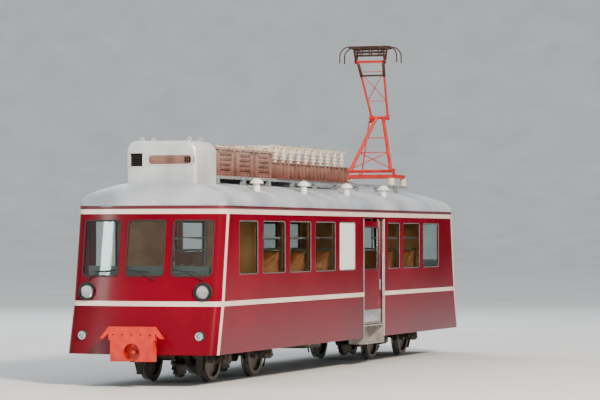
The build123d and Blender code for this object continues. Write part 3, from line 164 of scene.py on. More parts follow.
looks = {
    # gloss enamel sprayed on steel sheet: deep crimson, faint orange peel, road dust at the skirt
    "redGlossEnamel": {
        "dark": "#5E0012", "light": "#7C021C", "patch": 2.2, "grain": 0.03, "depth": 0.0002, "bump": 0.05,
        "rough": (0.15, 0.22),
        "shader": {"Coat Weight": 0.06, "Coat Roughness": 0.1, "Specular IOR Level": 0.12},
        "heightTint": {"colour": "#3A0C0E", "low": 0.5, "high": 1.5, "amount": 0.5, "rest": 0.04},
    },
    # the same enamel in warm cream, brushed on as raised lines
    "creamLineEnamel": {
        "dark": "#E9C9BC", "light": "#F8E2D8", "patch": 0.8, "grain": 0.01, "depth": 0.0004, "bump": 0.15,
        "rough": (0.3, 0.42), "shader": {"Coat Weight": 0.3},
        "heightTint": {"colour": "#8C6F5C", "low": 0.4, "high": 1.2, "amount": 0.5, "rest": 0.08},
    },
    # aluminium paint on sheet, dulled by weather: pale silver with bluish patches and run marks
    "aluminiumRoofPaint": {
        "dark": "#A3ADBC", "light": "#E2E5EB", "patch": 0.9, "grain": 0.02, "depth": 0.0012, "bump": 0.3,
        "rough": (0.38, 0.55), "shader": {"Metallic": 0.35},
        "heightTint": {"colour": "#6F7074", "low": 2.85, "high": 3.3, "amount": 0.5, "rest": 0.18,
                 "stretch": (1.2, 14.0, 2.0)},
    },
    # fairing sheet, newer silver paint with little soot
    "silverFairingPaint": {
        "dark": "#C6CACF", "light": "#E6E8EA", "patch": 0.5, "grain": 0.012, "depth": 0.0006, "bump": 0.2,
        "rough": (0.3, 0.45), "shader": {"Metallic": 0.25},
        "heightTint": {"colour": "#7C7873", "low": 3.3, "high": 3.9, "amount": 0.55, "rest": 0.15},
    },
    # vermilion coupler paint over cast steel, rubbed and a little chalky
    "vermilionCouplerPaint": {
        "dark": "#C81504", "light": "#EE2A0E", "patch": 0.12, "grain": 0.006, "depth": 0.0012, "bump": 0.35,
        "rough": (0.35, 0.55), "shader": {"Coat Weight": 0.15},
        "heightTint": {"colour": "#4A352C", "low": 0.3, "high": 0.8, "amount": 0.7, "rest": 0.18,
                 "stretch": (14, 14, 5)},
    },
    # steel frame under the floor, grey-green paint under brake dust
    "dustyFramePaint": {
        "dark": "#2B2F2B", "light": "#454A43", "patch": 0.35, "grain": 0.008, "depth": 0.0016, "bump": 0.5,
        "rough": (0.6, 0.85),
        "heightTint": {"colour": "#6B5543", "low": 0.1, "high": 1.0, "amount": 0.75, "rest": 0.3,
                 "stretch": (6, 6, 3)},
    },
    # rolled tyre steel: bright tread, brown rust film on the webs
    "tyreSteel": {
        "dark": "#5A4A3E", "light": "#8F8A84", "patch": 0.09, "grain": 0.004, "depth": 0.0006, "bump": 0.3,
        "rough": (0.35, 0.6), "shader": {"Metallic": 0.75},
        "heightTint": {"colour": "#4A3A2E", "low": 0.0, "high": 0.9, "amount": 0.7, "rest": 0.4,
                 "stretch": (8, 8, 8)},
    },
    # running band of the tyre, rolled bright by the rail
    "polishedTread": {
        "dark": "#8C8883", "light": "#C9C6C1", "patch": 0.05, "grain": 0.006, "depth": 0.0001, "bump": 0.05,
        "rough": (0.25, 0.4), "shader": {"Metallic": 0.95},
    },
    # black stove enamel on the pressed headlamp bodies
    "blackBezelEnamel": {
        "dark": "#0E0F11", "light": "#1C1D20", "patch": 0.08, "grain": 0.004, "depth": 0.0002, "bump": 0.1,
        "rough": (0.18, 0.3), "shader": {"Coat Weight": 0.4},
    },
    # stamped aluminium lamp ring, chromed
    "lampChrome": {
        "dark": "#C9CCD0", "light": "#EDEFF1", "patch": 0.05, "grain": 0.004, "depth": 0.0001, "bump": 0.1,
        "rough": (0.08, 0.16), "shader": {"Metallic": 1.0},
    },
    # galvanised steps, wet grey with worn bright edges
    "galvanisedStep": {
        "dark": "#A9A49E", "light": "#D8D4CE", "patch": 0.16, "grain": 0.006, "depth": 0.001, "bump": 0.4,
        "rough": (0.35, 0.6), "shader": {"Metallic": 0.55},
        "heightTint": {"colour": "#6A5648", "low": 0.3, "high": 0.9, "amount": 0.55, "rest": 0.1},
    },
    # varnished tan laminate of the saloon walls
    "tanLaminate": {
        "dark": "#C07A3C", "light": "#E0A468", "patch": 0.4, "grain": 0.003, "depth": 0.0003, "bump": 0.15,
        "rough": (0.35, 0.5), "shader": {"Coat Weight": 0.2},
    },
    # speckled grey linoleum
    "greyLinoleum": {
        "dark": "#565350", "light": "#77736E", "patch": 0.03, "grain": 0.004, "depth": 0.0003, "bump": 0.2,
        "rough": (0.5, 0.7),
    },
    # crackle lacquer of the driver's desk
    "deskLacquer": {
        "dark": "#4C5450", "light": "#69726D", "patch": 0.02, "grain": 0.003, "depth": 0.0008, "bump": 0.5,
        "rough": (0.45, 0.6),
    },
    # sheet steel that has been hot: rust brown, turning pinkish grey towards the top as a painted highlight
    # standing for sunlight on the tops
    "scorchedSteel": {
        "dark": "#4A2016", "light": "#7A3A28", "patch": 0.2, "grain": 0.01, "depth": 0.0015, "bump": 0.5,
        "rough": (0.65, 0.85), "shader": {"Metallic": 0.15},
        # this pale tint by height is painted light: the tops of the boxes and grids lightened as if sunlit
        "heightTint": {"colour": "#C9AFA2", "low": 3.5, "high": 3.95, "amount": 0.1, "rest": 0.9,
                 "stretch": (5, 5, 5)},
    },
    # glazed porcelain, cream with soot in the grooves
    "glazedPorcelain": {
        "dark": "#CDB9A2", "light": "#EFE3D2", "patch": 0.05, "grain": 0.01, "depth": 0.0003, "bump": 0.1,
        "rough": (0.12, 0.25), "shader": {"Coat Weight": 0.6},
    },
    # orange-red pantograph enamel, sun-bleached
    "pantographRed": {
        "dark": "#A8160A", "light": "#CF2A12", "patch": 0.12, "grain": 0.006, "depth": 0.0006, "bump": 0.2,
        "rough": (0.35, 0.5), "shader": {"Coat Weight": 0.2},
    },
    # greased collector head, dark brown with copper dust
    "collectorBrown": {
        "dark": "#2E1C17", "light": "#59382C", "patch": 0.07, "grain": 0.006, "depth": 0.0008, "bump": 0.4,
        "rough": (0.45, 0.7), "shader": {"Metallic": 0.4},
    },
    # galvanised roof rails, dull zinc
    "zincRail": {
        "dark": "#7D8184", "light": "#A6AAAC", "patch": 0.12, "grain": 0.005, "depth": 0.0006, "bump": 0.3,
        "rough": (0.45, 0.65), "shader": {"Metallic": 0.5},
    },
    # white paint on ventilators, chalky
    "chalkyWhitePaint": {
        "dark": "#D9D8D2", "light": "#F4F3EE", "patch": 0.15, "grain": 0.006, "depth": 0.0005, "bump": 0.2,
        "rough": (0.5, 0.65),
    },
    # maroon gutter enamel, nearly black in its shade
    "maroonGutterEnamel": {
        "dark": "#4A0A18", "light": "#6A1022", "patch": 0.7, "grain": 0.01, "depth": 0.0004, "bump": 0.15,
        "rough": (0.3, 0.45), "shader": {"Coat Weight": 0.3},
    },
    # moulded rubber of seals and hoses, dull black with a grey bloom
    "sealRubber": {
        "dark": "#17181A", "light": "#2B2D2F", "patch": 0.15, "grain": 0.004, "depth": 0.0004, "bump": 0.3,
        "rough": (0.6, 0.8),
    },
    # oiled spring steel, black with brown dust on the coils
    "springSteel": {
        "dark": "#1F1D1B", "light": "#3C3731", "patch": 0.05, "grain": 0.004, "depth": 0.0005, "bump": 0.3,
        "rough": (0.45, 0.65), "shader": {"Metallic": 0.6},
    },
    # brushed stainless steel of grab rails and handles
    "brushedStainless": {
        "dark": "#B9BBBD", "light": "#DCDDDE", "patch": 0.06, "grain": 0.02, "depth": 0.0001, "bump": 0.05,
        "rough": (0.38, 0.48), "shader": {"Metallic": 0.85},
    },
    # sintered copper of the contact strips, polished by the wire
    "contactCopper": {
        "dark": "#A68672", "light": "#D8C3B2", "patch": 0.05, "grain": 0.004, "depth": 0.0004, "bump": 0.2,
        "rough": (0.25, 0.4), "shader": {"Metallic": 0.9},
    },
    # vinyl of the seats, tan with a fine pressed grain
    "tanVinyl": {
        "dark": "#A8602C", "light": "#C87E44", "patch": 0.1, "grain": 0.002, "depth": 0.0006, "bump": 0.6,
        "rough": (0.42, 0.55), "shader": {"Sheen Weight": 0.1},
    },
    # enamelled steel tube of seat frames, ivory grey
    "ivoryTubeEnamel": {
        "dark": "#8E897D", "light": "#A8A397", "patch": 0.1, "grain": 0.005, "depth": 0.0003, "bump": 0.15,
        "rough": (0.3, 0.45),
    },
    # white laminate ceiling, satin
    "ceilingLaminate": {
        "dark": "#D9D2C4", "light": "#E8E2D6", "patch": 0.5, "grain": 0.004, "depth": 0.0002, "bump": 0.1,
        "rough": (0.4, 0.55),
    },
}
materials = {name: makeSurface(name, look) for name, look in looks.items()}
for name, tints, rough, weight in (
    # clear window glass, faintly green
    ("plateGlass", ("#E4F0EC", "#F6FAF9"), (0.0, 0.02), 1.0),
    # pressed glass of the lamps, a little cloudy
    ("lampGlass", ("#F2F4F2", "#FFFFFF"), (0.02, 0.08), 0.85),
    # white pane that lets hardly any light through
    ("whiteObscuredPane", ("#F1F1EC", "#FFFFFF"), (0.35, 0.5), 0.15),
):
    materials[name] = makeGlass(name, tints, rough, weight)

nodeLooks = {
    "redGlossEnamel": (
        "side_front_right", "side_front_left", "side_rear_right", "side_rear_left", "cantrails",
        "nose_front", "nose_rear", "door_right", "door_left",
    ),
    "creamLineEnamel": ("cream_lines",),
    "aluminiumRoofPaint": ("roof", "roof_ends"),
    "silverFairingPaint": ("roof_fairing",),
    "vermilionCouplerPaint": ("coupler_front", "coupler_rear"),
    "dustyFramePaint": (
        "underframe", "centre_pins", "headstocks", "underfloor_boxes", "air_reservoirs",
        "bogie_frame_front", "bogie_frame_rear", "axleboxes_front", "axleboxes_rear",
        "motors_front", "motors_rear",
    ),
    "tyreSteel": ("wheelset_1", "wheelset_2", "wheelset_3", "wheelset_4"),
    "plateGlass": ("side_glass", "windscreens", "door_glass_right", "door_glass_left"),
    "whiteObscuredPane": ("white_panes",),
    "blackBezelEnamel": ("headlamps",),
    "lampChrome": ("marker_lamps",),
    "galvanisedStep": ("entry_steps",),
    "tanLaminate": ("cab_partitions",),
    "greyLinoleum": ("floor",),
    "deskLacquer": ("driver_desks",),
    "scorchedSteel": ("resistor_boxes", "grid_cassettes"),
    "glazedPorcelain": ("insulator_bank",),
    "chalkyWhitePaint": ("ventilators",),
    "zincRail": ("roof_rails",),
    "pantographRed": ("pantograph_base", "panto_lower_arm", "panto_upper_arm", "panto_rod"),
    "collectorBrown": ("panto_head",),
    "tanVinyl": ("seats",),
}
for finish, names in nodeLooks.items():
    for name in names:
        if name in nodes:
            nodes[name].data.materials.clear()
            nodes[name].data.materials.append(materials[finish])
bare = sorted(set(nodes) - {name for names in nodeLooks.values() for name in names})
print("stage: materials,", len(materials), "made, nodes without one:", bare)


def deselectAll():
    if bpy.context.object and bpy.context.object.mode != "OBJECT":
        bpy.ops.object.mode_set(mode="OBJECT")
    bpy.ops.object.select_all(action="DESELECT")


def makeActive(piece):
    deselectAll()
    piece.select_set(True)
    bpy.context.view_layer.objects.active = piece


def editAll():
    bpy.context.tool_settings.mesh_select_mode = (True, False, False)
    bpy.ops.object.mode_set(mode="EDIT")
    bpy.ops.mesh.select_all(action="SELECT")


def leaveOutward():
    # every face turned to the outside, then back to object mode
    bpy.ops.mesh.select_all(action="SELECT")
    bpy.ops.mesh.normals_make_consistent(inside=False)
    bpy.ops.object.mode_set(mode="OBJECT")


def extrudeBy(step):
    bpy.ops.mesh.extrude_region_move(TRANSFORM_OT_translate={"value": step})


def settle(piece):
    makeActive(piece)
    bpy.ops.object.transform_apply(location=True, rotation=True, scale=True)
    return piece


def sized(scale):
    # the new primitive takes its size into its mesh
    piece = bpy.context.object
    piece.scale = scale
    return settle(piece)


def addModifier(piece, kind, **settings):
    makeActive(piece)
    modifier = piece.modifiers.new(kind.title(), kind)
    for name, value in settings.items():
        setattr(modifier, name, value)
    bpy.ops.object.modifier_apply(modifier=modifier.name)
    return piece


def smooth(piece, angle=35):
    makeActive(piece)
    bpy.ops.object.shade_smooth_by_angle(angle=math.radians(angle))
    return piece


def softEdges(piece, width, segments=2, angle=35):
    limit = math.radians(angle)
    addModifier(piece, "BEVEL", width=width, segments=segments, limit_method="ANGLE", angle_limit=limit)
    return smooth(piece, angle)


def moved(x, y, z):
    return Matrix.Translation((x, y, z))


def rotated(degrees, axis):
    return Matrix.Rotation(math.radians(degrees), 4, axis)


def mirroredAcross(axis):
    return Matrix.Diagonal(tuple(-1 if letter == axis else 1 for letter in "XYZ") + (1,))


def facing(direction, place):
    return Matrix.Translation(place) @ Vector(direction).to_track_quat("Z", "Y").to_matrix().to_4x4()


def block(size, centre=(0, 0, 0), edge=0.004):
    deselectAll()
    bpy.ops.mesh.primitive_cube_add(size=1, location=centre)
    return softEdges(sized(size), edge)


def rod(start, end, radius, sidesCount=12):
    start, end = Vector(start), Vector(end)
    reach = end - start
    deselectAll()
    bpy.ops.mesh.primitive_cylinder_add(
        vertices=sidesCount, radius=radius, depth=reach.length, location=(start + end) / 2
    )
    piece = bpy.context.object
    piece.rotation_mode = "QUATERNION"
    piece.rotation_quaternion = reach.to_track_quat("Z", "Y")
    return softEdges(settle(piece), radius * 0.22, 1, 50)


def vertexChain(points, bend=0.0, closed=False):
    # one vertex extruded from point to point, its corners rounded
    deselectAll()
    bpy.ops.mesh.primitive_plane_add(size=0.001, location=points[0])
    piece = settle(bpy.context.object)
    editAll()
    bpy.ops.mesh.merge(type="CENTER")
    for here, there in zip(points, points[1:]):
        step = [b - a for a, b in zip(here, there)]
        bpy.ops.mesh.extrude_vertices_move(TRANSFORM_OT_translate={"value": step})
    if closed:
        bpy.ops.object.mode_set(mode="OBJECT")
        ends = (0, len(piece.data.vertices) - 1)
        for vertex in piece.data.vertices:
            vertex.select = vertex.index in ends
        bpy.ops.object.mode_set(mode="EDIT")
        bpy.ops.mesh.edge_face_add()
    if bend:
        bpy.ops.mesh.select_all(action="SELECT")
        bpy.ops.mesh.bevel(offset=bend, segments=4, affect="VERTICES")
    bpy.ops.object.mode_set(mode="OBJECT")
    return piece


def turned(profile, centre=(0, 0, 0), axis="Z", steps=24):
    # a profile of radius and height pairs spun about its axis, which then points where it should
    piece = vertexChain([(radius, 0, height) for radius, height in profile])
    editAll()
    bpy.ops.mesh.spin(steps=steps, angle=math.tau, center=(0, 0, 0), axis=(0, 0, 1))
    bpy.ops.mesh.select_all(action="SELECT")
    bpy.ops.mesh.remove_doubles(threshold=0.0004)
    leaveOutward()
    degrees, hinge = {"Z": (0, "X"), "X": (90, "Y"), "Y": (-90, "X"), "-Y": (90, "X")}[axis]
    piece.data.transform(Matrix.Translation(centre) @ rotated(degrees, hinge))
    return smooth(piece, 40)


def bentTube(points, radius, bend=0.0, roundness=3):
    makeActive(vertexChain(points, bend))
    bpy.ops.object.convert(target="CURVE")
    curve = bpy.context.object.data
    curve.bevel_depth = radius
    curve.bevel_resolution = roundness
    curve.use_fill_caps = True
    bpy.ops.object.convert(target="MESH")
    return smooth(bpy.context.object, 50)


def boltHead(radius, height):
    deselectAll()
    bpy.ops.mesh.primitive_cylinder_add(vertices=6, radius=radius, depth=height, location=(0, 0, height / 2))
    return softEdges(settle(bpy.context.object), height * 0.25, 1, 50)


def copyOf(piece, matrix):
    twin = piece.copy()
    twin.data = piece.data.copy()
    bpy.context.scene.collection.objects.link(twin)
    twin.data.transform(matrix)
    if matrix.determinant() < 0:
        makeActive(twin)
        editAll()
        leaveOutward()
    return twin


def joined(pieces):
    deselectAll()
    for piece in pieces:
        piece.select_set(True)
    bpy.context.view_layer.objects.active = pieces[0]
    if len(pieces) > 1:
        bpy.ops.object.join()
    return bpy.context.object


def spread(model, matrices):
    copies = [copyOf(model, matrix) for matrix in matrices]
    bpy.data.objects.remove(model)
    return joined(copies)


def mirroredPair(piece, axis):
    return joined([piece, copyOf(piece, mirroredAcross(axis))])


def finishPiece(name, parts, finish, body="carbody"):
    piece = joined(parts) if isinstance(parts, list) else parts
    piece.name = name
    piece.data.name = name
    piece.data.materials.clear()
    piece.data.materials.append(materials[finish])
    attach(piece, body)
    return piece


def laidOn(piece, node, axis, forward):
    # a flat piece pushed along one axis until it lies on the node
    addModifier(
        piece, "SHRINKWRAP", target=node, wrap_method="PROJECT", use_project_x=False,
        use_project_y=axis == "Y", use_project_z=axis == "Z",
        use_positive_direction=forward, use_negative_direction=not forward,
    )


def thickened(piece, direction, sink, rise):
    # a sheet sunk a little and pulled out again to its thickness
    makeActive(piece)
    editAll()
    bpy.ops.transform.translate(value=[-sink * share for share in direction])
    extrudeBy([(sink + rise) * share for share in direction])
    leaveOutward()


def surfaceHit(node, origin, direction):
    matrix = node.matrix_world
    back = matrix.inverted()
    hit, place = node.ray_cast(back @ Vector(origin), back.to_3x3() @ Vector(direction))[:2]
    return matrix @ place if hit else None


def noseReach(z):
    # how far the raked nose stands out past the body's half length at a height
    if z > car["waist"]:
        return car["rake"] * (car["cantrail"] - z) / (car["cantrail"] - car["waist"])
    return car["rake"] + car["chin"] * (car["waist"] - z) / (car["waist"] - car["skirt"])


def noseFace(x, z):
    return -(car["halfLength"] + noseReach(z) - car["bow"] * (x / car["halfWidth"]) ** 2)


def along(place):
    # a distance from the front end of the body, turned into Y
    return place - car["halfLength"]


# window seals on the sides: black rubber with a thin bright filler strip pressed into it
seal = {"inner": 0.0, "band": 0.022, "proud": 0.005, "deep": 0.016}
filler = {"inner": 0.008, "band": 0.007, "proud": 0.0085, "deep": 0.006}
sideWindows = (
    (0.8, 1.73), (1.97, 3.13), (3.37, 4.53), (4.77, 5.93), (6.17, 7.13),
    (9.2, 10.0), (10.24, 11.4), (11.64, 12.8),
)
widestPillar = 0.5
pillars = [
    (here[1], there[0])
    for here, there in zip(sideWindows, sideWindows[1:]) if there[0] - here[1] < widestPillar
]


def cutRing(corner, band):
    # the corners of a flat plate rounded, and all but a band along its edge taken out
    editAll()
    bpy.ops.mesh.bevel(offset=corner, segments=6, affect="VERTICES")
    bpy.ops.mesh.select_all(action="SELECT")
    bpy.ops.mesh.inset(thickness=band)
    bpy.ops.mesh.delete(type="FACE")
    bpy.ops.mesh.select_all(action="SELECT")


def windowRing(width, height, corner, band, depth):
    # lies in the YZ plane, faces +X, and its outer edge is the opening
    deselectAll()
    bpy.ops.mesh.primitive_plane_add(size=1, rotation=(0, math.radians(90), 0))
    ring = sized((height, width, 1))
    cutRing(corner, band)
    extrudeBy((-depth, 0, 0))
    leaveOutward()
    return softEdges(ring, 0.0015, 1, 40)


def windowRings(strip):
    rings = []
    inner = strip["inner"]
    height = car["windowHigh"] - car["windowLow"] - 2 * inner
    x = car["halfWidth"] + strip["proud"] - car["glassInset"]
    for start, end in sideWindows:
        width, corner = end - start - 2 * inner, car["windowCorner"] - inner
        ring = windowRing(width, height, corner, strip["band"], strip["deep"])
        ring.data.transform(moved(x, along((start + end) / 2), (car["windowLow"] + car["windowHigh"]) / 2))
        rings.append(ring)
    return mirroredPair(joined(rings), "X")


finishPiece("windowSeals", windowRings(seal), "sealRubber")
finishPiece("sealFillers", windowRings(filler), "brushedStainless")
print("stage: window seals")

# windscreen rubbers that follow the bowed nose, laid on round each opening
screen = {
    "low": 1.808, "high": 2.688, "corner": 0.05, "band": 0.024, "overlap": 0.004, "proud": 0.012,
    "sink": 0.003, "before": -7.9, "places": ((0.0, 0.63), (0.8, 0.64), (-0.8, 0.64)),
}


def screenRubber(x, width):
    low, high, band = screen["low"], screen["high"], screen["band"]
    deselectAll()
    bpy.ops.mesh.primitive_plane_add(
        size=1, rotation=(math.radians(90), 0, 0), location=(x, screen["before"], (low + high) / 2)
    )
    ring = sized((width + 2 * band, high - low + 2 * band, 1))
    cutRing(screen["corner"] + band, band - screen["overlap"])
    bpy.ops.mesh.subdivide(number_cuts=3)
    bpy.ops.object.mode_set(mode="OBJECT")
    laidOn(ring, nodes["nose_front"], "Y", True)
    thickened(ring, (0, -1, 0), screen["sink"], screen["proud"])
    return softEdges(ring, 0.003, 2, 50)


rubbers = joined([screenRubber(x, width) for x, width in screen["places"]])
finishPiece("screenRubbers", mirroredPair(rubbers, "Y"), "sealRubber")

# wipers parked at the foot of each windscreen: spindle, sprung arm and blade
wiper = {
    "spindleZ": 1.745, "reach": 0.3, "lift": 0.13, "armRadius": 0.006, "bladeHalf": 0.2, "bladeRadius": 0.009,
    "offGlass": 0.018, "feet": ((0.18, -1), (0.98, -1), (-0.98, 1)),
    "spindle": ((0.0, 0.0), (0.022, 0.0), (0.022, 0.012), (0.012, 0.02), (0.012, 0.034), (0.0, 0.036)),
}
arms = []
blades = []
for x, side in wiper["feet"]:
    foot = Vector((x, noseFace(x, wiper["spindleZ"]), wiper["spindleZ"]))
    arms.append(turned(wiper["spindle"], foot, "-Y", 16))
    tip = Vector((x + side * wiper["reach"], 0, wiper["spindleZ"] + wiper["lift"]))
    tip.y = noseFace(tip.x, tip.z) - wiper["offGlass"] - 0.012
    arms.append(rod(foot + Vector((0, -0.028, 0)), tip, wiper["armRadius"], 10))
    for end in sides:
        outer = Vector((tip.x + end * wiper["bladeHalf"], 0, tip.z + 0.01 + end * side * 0.02))
        outer.y = noseFace(outer.x, outer.z) - wiper["offGlass"] + 0.006
        blades.append(rod(tip + Vector((0, 0.01, 0)), outer, wiper["bladeRadius"], 6))
finishPiece("wiperArms", mirroredPair(joined(arms), "Y"), "springSteel")
finishPiece("wiperBlades", mirroredPair(joined(blades), "Y"), "sealRubber")
print("stage: windscreens")

# lamps: a domed lens over a bright bowl, inside a rim, and a rubber bezel seal round the body of the lamp
lamps = (
    {"name": "headlamp", "x": 1.01, "z": 1.538, "radius": 0.142, "proud": 0.06, "rim": "blackBezelEnamel"},
    {"name": "markerLamp", "x": 1.02, "z": 0.828, "radius": 0.068, "proud": 0.04, "rim": "lampChrome"},
)
lensGap = 0.0275
domeTurns = (0.3, 0.6, 0.9, 1.2, 1.5)
for lamp in lamps:
    radius, proud = lamp["radius"], lamp["proud"]
    lens = radius - lensGap
    dome = [(lens * math.sin(turn), proud * (0.35 + 0.55 * math.cos(turn))) for turn in domeTurns]
    recipe = (
        ("Lenses", "lampGlass", "lamp_chrome", [
            (0.0, proud * 0.9), *dome, (lens, 0.006), (lens - 0.004, 0.006), (lens * 0.7, proud * 0.45),
            (0.0, proud * 0.7),
        ]),
        ("Bowls", "lampChrome", "lamp_chrome", [
            (0.0, 0.003), (lens * 0.35, 0.004), (lens * 0.7, 0.01), (lens * 0.95, proud * 0.35),
            (lens * 0.98, proud * 0.35), (lens, 0.001), (0.0, 0.0006),
        ]),
        ("BezelSeals", "sealRubber", "underframe_grey", [
            (radius - 0.002, -0.02), (radius + 0.016, -0.02), (radius + 0.018, 0.008),
            (radius + 0.008, 0.018), (radius - 0.002, 0.014),
        ]),
        ("Rims", lamp["rim"], "lamp_chrome", [
            (lens - 0.002, proud - 0.004), (lens + 0.003, proud + 0.003), (radius - 0.004, proud + 0.003),
            (radius + 0.002, proud - 0.008), (radius - 0.006, proud - 0.003),
        ]),
    )
    places = [moved(side * lamp["x"], noseFace(lamp["x"], lamp["z"]), lamp["z"]) for side in sides]
    for part, finish, slotName, profile in recipe:
        pair = spread(turned(profile, axis="-Y", steps=40), places)
        finishPiece(lamp["name"] + part, mirroredPair(pair, "Y"), finish)
print("stage: lamps")

# rain gutter of maroon enamel right round the car, its run on the noses probed from outside
gutter = {
    "lift": 0.001, "height": 0.056, "thickness": 0.016,
    "middle": (0, -6.3, 2.872), "stations": 64, "sweep": 82,
}


def noseLoop():
    places = []
    for step in range(gutter["stations"] + 1):
        turn = math.radians(-gutter["sweep"] + 2 * gutter["sweep"] * step / gutter["stations"])
        outward = Vector((math.sin(turn), -math.cos(turn), 0))
        hit = surfaceHit(nodes["nose_front"], Vector(gutter["middle"]) + outward * 3, -outward)
        if hit:
            places.append((hit.x, hit.y, car["cantrail"] + gutter["lift"]))
    return places


def loopBand(points, height, thickness):
    band = vertexChain(points, closed=True)
    editAll()
    extrudeBy((0, 0, height))
    leaveOutward()
    addModifier(band, "SOLIDIFY", thickness=thickness, offset=0.0, use_even_offset=True)
    return softEdges(band, thickness * 0.3, 2, 50)


frontLoop = noseLoop()
gutterLoop = frontLoop + [(-x, -y, z) for x, y, z in frontLoop]
gutterBand = loopBand(gutterLoop, gutter["height"], gutter["thickness"])
finishPiece("roofGutter", gutterBand, "maroonGutterEnamel")

# short cream strips on the flanks of the noses, from the side lines to the corner lines
creamEnd = {"x": 1.303, "thickness": 0.01, "height": 0.08, "rows": ((6.935, 1.348), (6.685, 2.848))}
strips = []
for side in sides:
    for corner, z in creamEnd["rows"]:
        strips.append(block(
            (creamEnd["thickness"], corner - car["noseJoin"], creamEnd["height"]),
            (side * creamEnd["x"], -(corner + car["noseJoin"]) / 2, z), 0.002,
        ))
finishPiece("creamLineEnds", mirroredPair(joined(strips), "Y"), "creamLineEnamel")

# flat ribs laid across the arch of the roof, over its seams
roofRib = {
    "half": 1.255, "width": 0.035, "rise": 0.006, "sink": 0.002, "above": 4.6,
    "first": -5.9, "pitch": 1.18, "count": 11,
}


def roofStrip(y):
    deselectAll()
    place = (0, y, roofRib["above"])
    bpy.ops.mesh.primitive_grid_add(x_subdivisions=48, y_subdivisions=1, size=1, location=place)
    strip = sized((2 * roofRib["half"], roofRib["width"], 1))
    laidOn(strip, nodes["roof"], "Z", False)
    thickened(strip, (0, 0, 1), roofRib["sink"], roofRib["rise"])
    return smooth(strip, 40)


ribs = [roofStrip(roofRib["first"] + roofRib["pitch"] * number) for number in range(roofRib["count"])]
finishPiece("roofRibs", ribs, "aluminiumRoofPaint")

# two cable pipes in saddles beside the roof equipment
cable = {"x": 0.76, "gap": 0.05, "start": -5.4, "end": 5.6, "radius": 0.014}
saddle = {"size": (0.11, 0.03, 0.036), "first": -5.1, "pitch": 0.55, "count": 20}


def roofHeight(x, y):
    return surfaceHit(nodes["roof"], (x, y, 5), (0, 0, -1)).z


pipes = []
for offset in (0.0, cable["gap"]):
    x = -cable["x"] - offset
    z = roofHeight(x, 0.5) + 0.03
    pipes.append(bentTube(
        [(x, cable["start"], z - 0.06), (x, cable["start"] + 0.06, z), (x, cable["end"] - offset, z),
         (x + 0.2 + offset, cable["end"] + 0.05, z + 0.03)],
        cable["radius"], 0.03,
    ))
saddlePlaces = []
saddleX = -cable["x"] - cable["gap"] / 2
for step in range(saddle["count"]):
    y = saddle["first"] + step * saddle["pitch"]
    saddlePlaces.append(moved(saddleX, y, roofHeight(saddleX, y) + 0.018))
finishPiece("roofCablePipes", pipes, "zincRail")
finishPiece("pipeSaddles", spread(block(saddle["size"]), saddlePlaces), "zincRail")
print("stage: roof")

# fairing: a framed intake with louvre bars, scorched rods behind the slot of a framed grille, rivets and eyes
fairing = {
    "front": -6.44, "rear": -5.5, "top": 4.018, "half": 0.63,
    "rivetRows": (3.42, 3.8), "rivetPitch": 0.06, "edgeRivetPitch": 0.047, "eyes": (-6.2, -5.7),
}
intake = {"x": -0.428, "z": 3.708, "size": 0.22, "bars": 6, "lean": 35}
slot = {"x": 0.151, "z": 3.708, "length": 0.56}
grille = {"x": 0.17, "width": 0.8, "height": 0.19, "wires": 23, "margin": 0.04}


def flatFrame(width, height, corner, band, depth, place):
    # lies in the XZ plane and faces -Y
    ring = windowRing(width, height, corner, band, depth)
    ring.data.transform(Matrix.Translation(place) @ rotated(-90, "Z"))
    return ring


barPlaces = []
for step in range(intake["bars"]):
    z = intake["z"] + intake["size"] * ((step + 0.5) / intake["bars"] - 0.5)
    barPlaces.append(moved(intake["x"], fairing["front"] + 0.035, z) @ rotated(intake["lean"], "X"))
bar = block((intake["size"] - 0.004, 0.004, 0.04), edge=0.001)
finishPiece("fairingLouvres", spread(bar, barPlaces), "springSteel")
elements = []
for lift in (-0.03, 0.0, 0.03):
    y, z = fairing["front"] + 0.12, slot["z"] + lift
    elements.append(rod((slot["x"] - 0.1, y, z), (slot["x"] + 0.24, y, z), 0.012, 10))
elements.append(block((0.02, 0.1, 0.1), (slot["x"] - 0.11, fairing["front"] + 0.13, slot["z"]), 0.003))
finishPiece("fairingElements", elements, "scorchedSteel")
meshY = fairing["front"] - 0.002
strip = (grille["width"] - 0.03, 0.004, grille["height"] - 0.1)
mesh = [block(strip, (grille["x"], meshY, slot["z"] + part * 0.045), 0.001) for part in sides]
mesh.append(block(
    (grille["width"] - slot["length"] - 0.06, 0.004, 0.1),
    (slot["x"] + slot["length"] / 2 + 0.075, meshY, slot["z"]), 0.001,
))
for step in range(grille["wires"]):
    run = (grille["width"] - 2 * grille["margin"]) * step / (grille["wires"] - 1)
    x = grille["x"] - grille["width"] / 2 + grille["margin"] + run
    place = (x, fairing["front"] - 0.006, slot["z"])
    mesh.append(block((0.007, 0.006, grille["height"] - 0.03), place, 0.001))
finishPiece("fairingMesh", mesh, "scorchedSteel")
edge = intake["size"] + 0.05
intakePlace = (intake["x"], fairing["front"] - 0.008, intake["z"])
grillePlace = (grille["x"], fairing["front"] - 0.01, slot["z"])
intakeFrame = flatFrame(edge, edge, 0.012, 0.027, 0.012, intakePlace)
grilleFrame = flatFrame(grille["width"], grille["height"], 0.08, 0.022, 0.014, grillePlace)
finishPiece("fairingFrames", [intakeFrame, grilleFrame], "silverFairingPaint")
rivets = [
    facing((side, 0, 0), (side * fairing["half"], fairing["front"] + 0.1 + step * fairing["rivetPitch"], z))
    for side in sides for step in range(14) for z in fairing["rivetRows"]
]
for step in range(18):
    place = (-0.4 + step * fairing["edgeRivetPitch"], fairing["rear"] - 0.035, fairing["top"])
    rivets.append(facing((0, 0, 1), place))
deselectAll()
bpy.ops.mesh.primitive_uv_sphere_add(segments=8, ring_count=4, radius=0.006)
rivet = smooth(sized((1, 1, 0.5)), 60)
finishPiece("fairingRivets", spread(rivet, rivets), "silverFairingPaint")


